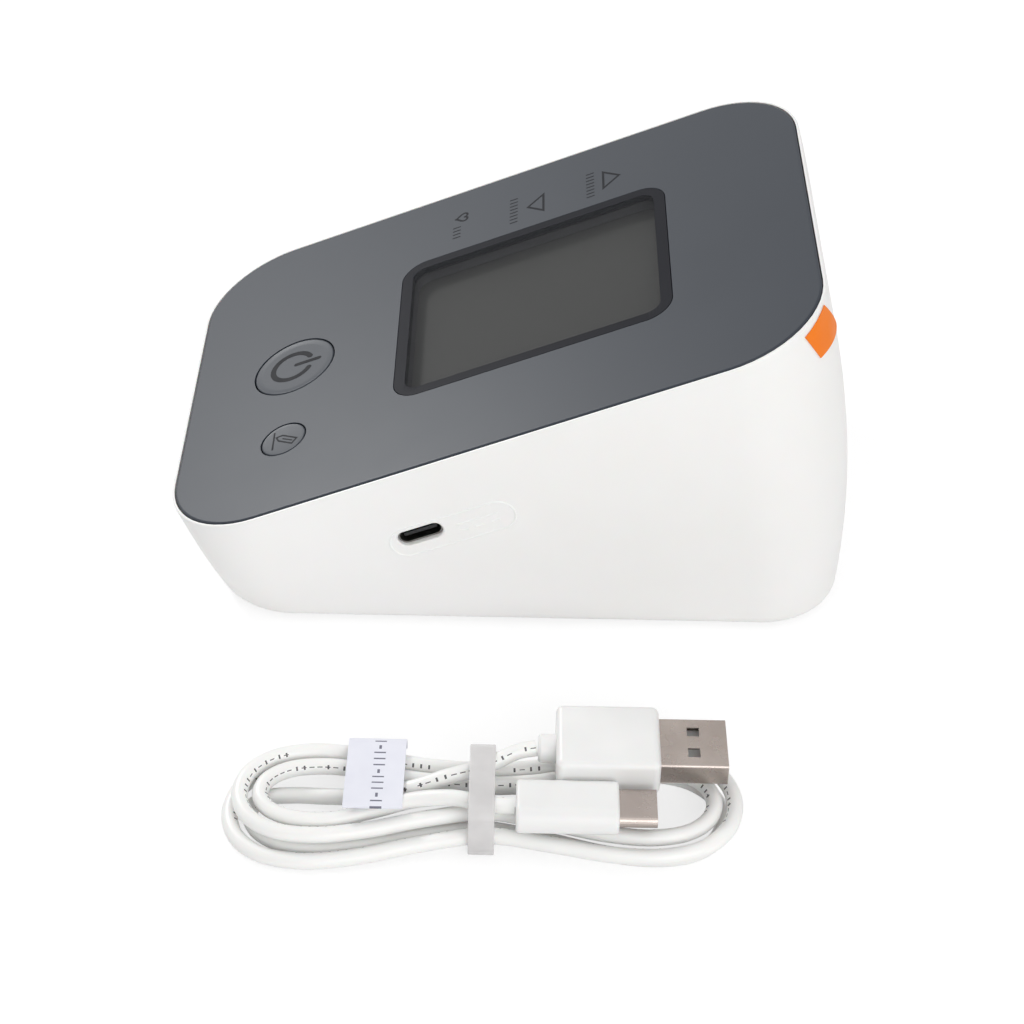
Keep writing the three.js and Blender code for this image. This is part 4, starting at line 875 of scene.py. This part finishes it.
made["flag_paper"] = makeFlagPaper()
bandPiece = makeBand()
flagPiece = makeFlag()
chargerGrip = makeChargerGrip()
monitorGrip = makeMonitorGrip()
shellA = dress("usb_a_shell", "bright_steel")
insertA = dress("usb_a_insert", "plug_white")
shellC = dress("usb_c_shell", "bright_steel")
print("lead dressed")

# Housing: outlines of the underside and of the rim, the swell between them, walls, rim and openings
housing = {
    "halfWidth": 44.7,
    "front": -52.9,
    "rear": 71,
    "cornerRadius": 16,
    "cornerSteps": 14,
    "edgeSteps": 8,
    "fillet": 2.5,
    "filletSteps": 6,
    "sideSwell": 1.8,
    "rearSwell": 3.3,
    "wall": 2.2,
    "wallSteps": 16,
    "floor": 2.2,
    "rimDrop": 0.15,
    "rimRound": 0.4,
    "rimRoundShare": 0.9,
    "rimSteps": 4,
    "rimLedge": 0.55,
    "ledgeEdge": 0.08,
    "ledgeDepth": 1.9,
    "innerSpan": (0.06, 0.965),
    "innerSteps": 8,
    "inFloor": 1,
    "below": -5,
    "bay": ((-30.2, -8, -20), (30.2, 49, 17)),
    "bayWall": 1.6,
    "doorSlots": {"spread": 20, "width": 9.6, "low": 2.2, "high": 7.0},
    "bosses": [(36, -37), (-36, -37), (36, 52), (-36, 52)],
    "bossSize": (8, 4),
    "screwSeat": (3.0, 3.5),
    "feet": [(26, -43.5), (-26, -43.5), (26, 61), (-26, 61)],
    "footSeat": (5.3, 0.8),
    "socket": (-19, -14.5),
    "slotSize": (9.1, 3.4),
    "slot": {"face": 47.43, "depth": 8.4, "past": 1.35, "flare": 0.75},
    "airRadius": 6.9,
    "airSteps": 72,
    "air": {"face": 47.92, "depth": 7, "past": 1.0, "flare": 0.3},
}
tilt = Matrix.Translation((0, 0, body["faceHeight"])) @ tiltTurn


# Lines up the wall: where each one starts, where it ends at the rim, and its way outwards
def wallLine(foot, head, corner, rimCorner, quarters):
    angle = math.pi / 2 * quarters
    out = Vector((math.cos(angle), math.sin(angle), 0))
    rim = head + out * rimCorner
    top = tilt @ (rim + Vector((0, 0, -housing["rimDrop"])))
    return {"foot": foot + out * corner, "rim": rim, "head": top, "out": out}


# Each corner's centre at the foot and at the rim, and its radius at both
def wallCorners(inset):
    corner, rimCorner = housing["cornerRadius"] - inset, body["rimRadius"] - inset
    halfX, front, rear = housing["halfWidth"] - inset, housing["front"] + inset, housing["rear"] - inset
    rimX, rimY = body["rimWidth"] / 2 - inset, body["rimLength"] / 2 - inset
    corners = []
    for signX, signY in ((1, 1), (-1, 1), (-1, -1), (1, -1)):
        footY = rear - corner if signY > 0 else front + corner
        foot = Vector((signX * (halfX - corner), footY, 0))
        head = Vector((signX * (rimX - rimCorner), signY * (rimY - rimCorner), 0))
        corners.append((foot, head, corner, rimCorner))
    return corners


def wallLines(inset):
    corners = wallCorners(inset)
    lines = []
    for quarter, (foot, head, *radii) in enumerate(corners):
        for share in shares(housing["cornerSteps"]):
            lines.append(wallLine(foot, head, *radii, quarter + share))
        nextFoot, nextHead, *_ = corners[(quarter + 1) % 4]
        for share in shares(housing["edgeSteps"], 1)[:-1]:
            ends = foot.lerp(nextFoot, share), head.lerp(nextHead, share)
            lines.append(wallLine(*ends, *radii, quarter + 1))
    return lines


# A point at a share of the wall's height; the swell is greatest halfway up
def onWall(line, share):
    out = line["out"]
    swell = out.x**2 * housing["sideSwell"] + max(0, out.y) ** 2 * housing["rearSwell"]
    point = line["foot"].lerp(line["head"], share)
    return point + out * swell * 4 * share * max(0, 1 - share)


def arched(first, corner, last, share):
    return first * (1 - share) ** 2 + corner * 2 * share * (1 - share) + last * share**2


def wallLength(line):
    return (line["head"] - line["foot"]).length


# A point of the rim's top, moved inwards and up or down in the frame of the face
def rimPoint(line, inset, up):
    return tilt @ (line["rim"] - line["out"] * inset + Vector((0, 0, up)))


# Rings of the skin, from the underside up the outer wall, over the rim and down the inner wall
def housingRings():
    outer, inner = wallLines(0), wallLines(housing["wall"])
    fillet, rounding = housing["fillet"], housing["rimRound"]
    top, ledge, edge = -housing["rimDrop"], housing["rimLedge"], housing["ledgeEdge"]
    foot, middle, rim = [], [], []
    for line in outer:
        start, end = fillet / wallLength(line), 1 - rounding / wallLength(line)
        corner = onWall(line, 0)
        foot.append((corner - line["out"] * fillet, corner, onWall(line, start)))
        middle.append((line, start, end - start))
        inwards = rimPoint(line, rounding * housing["rimRoundShare"], top)
        rim.append((onWall(line, end), line["head"], inwards))
    rings = [[arched(*three, share) for three in foot] for share in shares(housing["filletSteps"])]
    for share in shares(housing["wallSteps"], 1):
        rings.append([onWall(line, start + height * share) for line, start, height in middle])
    rings += [[arched(*three, share) for three in rim] for share in shares(housing["rimSteps"], 1)]
    for inset, up in ((ledge - edge, top), (ledge, top - edge), (ledge, -housing["ledgeDepth"])):
        rings.append([rimPoint(line, inset, up) for line in outer])
    low, high = housing["innerSpan"]
    for share in reversed(shares(housing["innerSteps"])):
        rings.append([onWall(line, low + (high - low) * share) for line in inner])
    rings.append([Vector((point.x, point.y, housing["floor"])) for point in rings[-1]])
    return rings


# A box with sharp edges in the housing's frame
def plainBox(low, high):
    return softBox(low, high, 0, 1, bodyFrame)


# A hole through a side wall, at the socket's place
def wallHole(outline, hole, frameOf):
    low, high = hole["face"] - hole["depth"], hole["face"] + hole["past"]
    return flaredPrism(outline, housing["socket"], low, high, hole["flare"], frameOf)


def makeHousing():
    mesh = lofted(housingRings(), bodyFrame)
    low, high = (Vector(corner) for corner in housing["bay"])
    wall = Vector((housing["bayWall"], housing["bayWall"], 0))
    start, below = housing["inFloor"], housing["below"]
    additions = [plainBox((*(low - wall).xy, start), high + wall + Vector((0, 0, housing["bayWall"])))]
    height, radius = housing["bossSize"]
    additions += [rod(x, y, start, height, radius) for x, y in housing["bosses"]]
    mesh = carved(mesh, additions, "UNION")
    cuts = [plainBox(low, high)]
    slots = housing["doorSlots"]
    for middle in (-slots["spread"], slots["spread"]):
        first = (middle - slots["width"] / 2, high.y - cutPast, slots["low"])
        last = (middle + slots["width"] / 2, high.y + wall.y + cutPast, slots["high"])
        cuts.append(plainBox(first, last))
    for seat, places in (("screwSeat", "bosses"), ("footSeat", "feet")):
        radius, depth = housing[seat]
        cuts += [rod(x, y, below, depth, radius) for x, y in housing[places]]
    length, height = housing["slotSize"]
    slot = roundedOutline(length, height, height / 2, centre=housing["socket"])
    cuts.append(wallHole(slot, housing["slot"], wallFrame))
    air = circleOutline(housing["airRadius"], housing["airSteps"], housing["socket"])
    cuts.append(wallHole(air, housing["air"], wallFrame @ Matrix.Scale(-1, 4, (0, 0, 1))))
    return carved(mesh, cuts)


shellMesh = makeHousing()
shellSkin = bmesh.new()
shellSkin.from_mesh(shellMesh)
shellTree = BVHTree.FromBMesh(shellSkin)
shellSkin.free()
settle("housing_shell", shellMesh, "case", "white_shell", ["lower_housing"], sharp=32)
print("housing made", len(shellMesh.polygons))

# Face panel with its holes for the window and the keys
panel = {
    "size": (94.14, 132.74),
    "radius": 18.97,
    "cornerSteps": 24,
    "thickness": 1.6,
    "edge": 0.5,
    "edgeSteps": 5,
    "holeStart": -3,
    "holeFlare": 0.06,
    "holeSteps": 96,
}
window = {
    "size": (47.5, 58),
    "radius": 5.6,
    "leastRadius": 0.6,
    "centre": (0, 9),
    "gap": 0.12,
    "joint": 0.03,
    "mask": 2.5,
    "bezelGap": 0.3,
    "band": 2.3,
    "glassLap": 1.5,
}
keys = {
    "power": {"place": (0, -43.1), "hole": 9.0, "radius": 8.78, "bowl": 1.3, "dish": 0.1},
    "memory": {"place": (24.6, -43.2), "hole": 4.9, "radius": 4.72, "bowl": 0.4, "dish": 0.03},
}


def windowOutline(inset):
    width, length = (size - 2 * inset for size in window["size"])
    radius = max(window["radius"] - inset, window["leastRadius"])
    return roundedOutline(width, length, radius, centre=window["centre"])


def makePanel():
    outline = roundedOutline(*panel["size"], panel["radius"], panel["cornerSteps"])
    mesh = flatPlate([outline], 0, panel["thickness"], panel["edge"], panel["edgeSteps"], faceFrame)
    openings = [(windowOutline(0), window["centre"])]
    for key in keys.values():
        openings.append((circleOutline(key["hole"], panel["holeSteps"], key["place"]), key["place"]))
    start, flare = panel["holeStart"], panel["holeFlare"]
    mesh = carved(mesh, [flaredPrism(*opening, start, 0, flare, faceFrame) for opening in openings])
    settle("face_panel", mesh, "case", "grey_face", ["front_panel"])


# Window pane: faintly smoked and see-through
smoke = {"colour": (58, 59, 62), "gloss": 0.12, "alpha": 0.25, "smear": 60, "roughness": (0.08, 0.16)}


def makePaneFinish():
    finish, place = newFinish("smoked_window")
    tree = finish.node_tree
    smear = between(tree, cloud(tree, place, smoke["smear"], detail=3), *smoke["roughness"])
    sockets = {"Base Color": shade(*smoke["colour"]), "Roughness": smear, "Alpha": smoke["alpha"]}
    fillShader(tree, {**sockets, **gloss(smoke["gloss"])})
    return finish


# Layers in and under the window: the top of each one, its thickness, its edge and the edge's steps
layers = {
    "pane": (0, 1.3, 0.02, 2),
    "mask": (0, 1.3, 0.05, 3),
    "bezel": (-1.6, 2.0, 0.1, 2),
    "glass": (-3.9, 2.2, 0.1, 2),
}


def layer(name, *insets):
    return flatPlate([windowOutline(inset) for inset in insets], *layers[name], faceFrame)


def makeDisplay():
    pane = layer("pane", window["mask"] + window["joint"])
    settle("window_pane", pane, "case", "smoked_window", ["display_window"])
    mask = layer("mask", window["gap"], window["mask"])
    settle("window_mask", mask, "case", "window_band")
    bezel = layer("bezel", window["bezelGap"], window["band"])
    settle("window_bezel", bezel, "case", "dark_bezel", ["display_bezel"])
    glass = layer("glass", window["band"] - window["glassLap"])
    settle("display_glass", glass, "case", "display_glass", ["lcd_glass"])


# Keys: a turned cap with a soft ring round a shallow dish, a flange under the frame and a stem.
# The rim is given by the way inwards and up, the bowl by shares of its width and of the dish.
keyShape = {
    "stem": 2.4,
    "foot": -5.4,
    "flange": (-4.8, -4.2),
    "flangeReach": 0.8,
    "rim": [(0, -0.3), (0.04, -0.14), (0.14, -0.04), (0.3, 0)],
    "bowl": [(0.08, 0.08), (0.24, 0.3), (0.5, 0.58), (0.76, 0.84), (1, 1)],
    "steps": 128,
}


def keyMesh(key):
    radius, reach = key["radius"], key["hole"] + keyShape["flangeReach"]
    stem, foot = keyShape["stem"], keyShape["foot"]
    low, high = keyShape["flange"]
    profile = [(0, foot), (stem, foot), (stem, low), (reach, low), (reach, high), (radius, high)]
    profile += [(radius - inwards, up) for inwards, up in keyShape["rim"]]
    ring, _ = profile[-1]
    profile += [(ring - key["bowl"] * inwards, -key["dish"] * down) for inwards, down in keyShape["bowl"]]
    profile.append((0, -key["dish"]))
    return turned(profile, keyShape["steps"], shifted(faceFrame, *key["place"]))


# Thin symbols that stand a little proud of the keys and the panel
symbols = {
    "proud": 0.02,
    "depth": 0.12,
    "ringStroke": 1.25,
    "ringRadius": 4.3,
    "ringGap": 27,
    "ringPlace": (-0.35, -0.55),
    "barStroke": 1.05,
    "bar": [(-0.55, 0.35), (-0.55, 5.45)],
    "fine": 0.38,
    "line": [(-2.9, -2.15), (2.4, -2.15)],
    "pencil": [(0.05, -1.05), (2.2, 2.0), (0.85, 2.95), (-1.4, -0.3), (-1.25, -1.6)],
    "pencilSlot": [(-0.25, -0.1), (1.15, 1.95)],
    "pencilSlotShare": 0.8,
    "leastMitre": 0.4,
}


def inlay(name, outlines, top, rider):
    mesh = flatPlate(outlines, top, symbols["depth"], 0, 1, faceFrame)
    settle(name, mesh, rider, "dark_ink", weighted=False)


def placed(points, centre):
    return [Vector(centre) + Vector(point) for point in points]


# Two loops, each half a stroke from a closed outline that runs anticlockwise
def hollow(points, stroke):
    loops = []
    for side in (1, -1):
        loop = []
        for index, point in enumerate(points):
            before, after = Vector(points[index - 1]), Vector(points[(index + 1) % len(points)])
            here = Vector(point)
            first, second = (here - before).normalized(), (after - here).normalized()
            corner = (Vector((first.y, -first.x)) + Vector((second.y, -second.x))).normalized()
            mitre = max(corner.dot(Vector((first.y, -first.x))), symbols["leastMitre"])
            loop.append(here + corner * (stroke / 2 / mitre) * side)
        loops.append(loop)
    return loops


def powerSigns():
    gap = symbols["ringGap"]
    ring = strokeOutline(arcPoints(symbols["ringRadius"], 90 + gap, 450 - gap), symbols["ringStroke"])
    bar = strokeOutline(symbols["bar"], symbols["barStroke"])
    return {"ring": [placed(ring, symbols["ringPlace"])], "bar": [bar]}


def memorySigns():
    fine = symbols["fine"]
    slot = strokeOutline(symbols["pencilSlot"], fine * symbols["pencilSlotShare"])
    line = strokeOutline(symbols["line"], fine)
    return {"line": [line], "pencil": hollow(symbols["pencil"], fine), "slot": [slot]}


def makeKey(name, signs):
    key, rider = keys[name], name + "_key"
    settle(rider + "_cap", keyMesh(key), rider, "grey_key", [name + "_button"])
    for sign, loops in signs.items():
        outlines = [placed(loop, key["place"]) for loop in loops]
        inlay(name + "_symbol_" + sign, outlines, symbols["proud"] - key["dish"], rider)


# Plain pictograms beside the window, each with a short row of strokes below it:
# where the row starts, where it ends, and its level
pictograms = {
    "rising": {
        "place": (-32.3, 26.6),
        "points": [(-3.2, -1.6), (3.2, -1.6), (0, 1.9)],
        "row": (-37.2, -27.2, 22.1),
    },
    "falling": {
        "place": (-31.6, 10.0),
        "points": [(0, -1.9), (3.2, 1.6), (-3.2, 1.6)],
        "row": (-37.2, -27.2, 4.9),
    },
    "beating": {"place": (-36.4, -6.9), "heart": 1.5, "row": (-33.6, -28.4, -8.1)},
}
pictogramStroke = 0.5
pictogramRow = {"stroke": 0.34, "height": 1.5, "step": 1.3}


def heartPoints(size, steps=28):
    points = []
    for step in range(steps):
        turn = 2 * math.pi * (step + 0.5) / steps
        x = 16 * math.sin(turn) ** 3
        y = 13 * math.cos(turn) - 5 * math.cos(2 * turn) - 2 * math.cos(3 * turn) - math.cos(4 * turn)
        points.append(Vector((-x, y)) * size / 16)
    return points


def strokesBetween(start, end, level):
    step, half = pictogramRow["step"], pictogramRow["height"] / 2
    places = [start + step * (index + 0.5) for index in range(round((end - start) / step))]
    return [strokeOutline([(x, level - half), (x, level + half)], pictogramRow["stroke"]) for x in places]


def makePictograms():
    top = symbols["proud"]
    for name, sign in pictograms.items():
        points = sign["points"] if "points" in sign else heartPoints(sign["heart"])
        loops = [placed(loop, sign["place"]) for loop in hollow(points, pictogramStroke)]
        inlay(name + "_sign", loops, top, "case")
        inlay(name + "_row", strokesBetween(*sign["row"]), top, "case")


# Raised outline round the socket on the right wall, with the plain mark for direct current
ridge = {
    "size": (25.2, 6.6),
    "centre": (-12.8, -15.5),
    "cornerSteps": 20,
    "radius": 0.3,
    "sides": 16,
    "spacing": 0.4,
    "proud": 0.17,
    "line": [(-11.6, -14.8), (-3.4, -14.8)],
    "dashes": [(-11.6, -9.8), (-8.4, -6.6), (-5.2, -3.4)],
    "dashLevel": -16.4,
    "outside": 70,
}


def onRightWall(place):
    start = wallFrame @ (Vector((place[0], place[1], ridge["outside"])) * mm)
    way = (wallFrame.to_3x3() @ Vector((0, 0, -1))).normalized()
    spot, facing, _, _ = shellTree.ray_cast(start, way)
    return spot + facing * (ridge["proud"] - ridge["radius"]) * mm


def makeRidge():
    width, height = ridge["size"]
    oval = roundedOutline(width, height, height / 2, ridge["cornerSteps"], ridge["centre"])
    level = ridge["dashLevel"]
    paths = [(oval + oval[:1], True), (ridge["line"], False)]
    paths += [([(start, level), (end, level)], False) for start, end in ridge["dashes"]]
    lines = []
    for points, closed in paths:
        fine = evenly([Vector((*point, 0)) for point in points], ridge["spacing"])
        if closed:
            fine.pop()
        lines.append(([onRightWall(place) for place in fine], closed))
    mesh = tubeMesh(lines, ridge["radius"], ridge["sides"])
    settle("socket_ridge", mesh, "case", "white_shell", weighted=False)


made["smoked_window"] = makePaneFinish()
makePanel()
makeDisplay()
makeKey("power", powerSigns())
makeKey("memory", memorySigns())
makePictograms()
makeRidge()
print("face made")

# Orange mark on the rear right corner: each end by its share of the corner's turn and of the wall's height
mark = {
    "topLeft": Vector((0.51, 0.975)),
    "topRight": Vector((0.77, 0.988)),
    "bottomLeft": Vector((0.615, 0.88)),
    "bottomRight": Vector((0.99, 0.8625)),
    "grid": (24, 12),
    "offset": 0.06,
    "thickness": 0.16,
}


def makeMark():
    rearRight, *_ = wallCorners(0)
    bm = bmesh.new()
    columns, rows = mark["grid"]
    bmesh.ops.create_grid(bm, x_segments=columns, y_segments=rows, size=0.5)
    for vert in bm.verts:
        across, up = vert.co.x + 0.5, vert.co.y + 0.5
        onTop = mark["topLeft"].lerp(mark["topRight"], across)
        onBottom = mark["bottomLeft"].lerp(mark["bottomRight"], across)
        turn, share = onBottom.lerp(onTop, up)
        line = wallLine(*rearRight, turn)
        vert.co = (onWall(line, share) + line["out"] * mark["offset"]) * mm
    mesh = thickened(bm, 0, mark["thickness"], bodyFrame)
    settle("corner_sticker", mesh, "case", "orange_mark", ["corner_mark"])


makeMark()

# Cells in the bay, turned end for end in turn: a wrapped can and a steel cap with its nub
cell = {
    "count": 4,
    "canFoot": [(0, -24.5), (5.6, -24.5), (5.7, -24.3), (6.7, -24.3), (7.0, -24.15), (7.1, -23.9)],
    "canHead": [(7.1, 23.9), (7.0, 24.15), (6.7, 24.3), (4.4, 24.3), (4.4, 24.1), (0, 24.1)],
    "canSteps": 64,
    "capFoot": [(0, 24.05), (4.2, 24.05), (4.2, 24.2), (2.9, 24.25)],
    "capHead": [(2.75, 24.4), (2.75, 25.6), (2.6, 25.8), (0, 25.8)],
    "capSteps": 48,
    "nub": 1.3,
}


def makeCells():
    for index in range(cell["count"]):
        number = str(index + 1)
        node = "battery_cell_" + number
        direction = 1 if index % 2 == 0 else -1
        low, high = (Vector(corner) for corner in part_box(node))
        middle = (low + high) / 2 - Vector((0, direction * cell["nub"] / 2 * mm, 0))
        lying = Matrix.Translation(middle) @ Matrix.Rotation(-direction * math.pi / 2, 4, "X")
        can = turned(cell["canFoot"] + cell["canHead"], cell["canSteps"], lying)
        cap = turned(cell["capFoot"] + cell["capHead"], cell["capSteps"], lying)
        settle("cell_can_" + number, can, "case", "cell_wrap", [node])
        settle("cell_cap_" + number, cap, "case", "bright_steel")


makeCells()
print("cells laid in")

# Inner and lower pieces of the frame keep their shape and get their finish
dressing = {
    "holder_plastic": ["lcd_holder"],
    "soft_strip": ["zebra_strip"],
    "board_green": ["main_board", "usb_board"],
    "black_plastic": [
        "buzzer",
        "pressure_sensor",
        "usb_tongue",
        "pump_head",
        *ending("switch", "power", "memory"),
    ],
    "bright_steel": [
        *numbered("board_screw", 2),
        "pump_motor",
        "pump_crank",
        "release_valve",
        "battery_contacts_rear",
        "battery_contacts_front",
        *numbered("case_screw", 4),
    ],
    "socket_steel": ["usb_socket"],
    "silicone": [
        "air_connector",
        "air_socket",
        "pump_cradle",
        *ending("tube", "air_socket", "pump", "sensor", "valve"),
        *ending("plunger", "valve", "power", "memory"),
    ],
    "foot_rubber": feet,
    "plate_paper": ["rating_label"],
    "white_shell": ["upper_frame", "battery_door"],
}
for finishName, nodes in dressing.items():
    for node in nodes:
        dress(node, finishName)
print("frame pieces dressed")
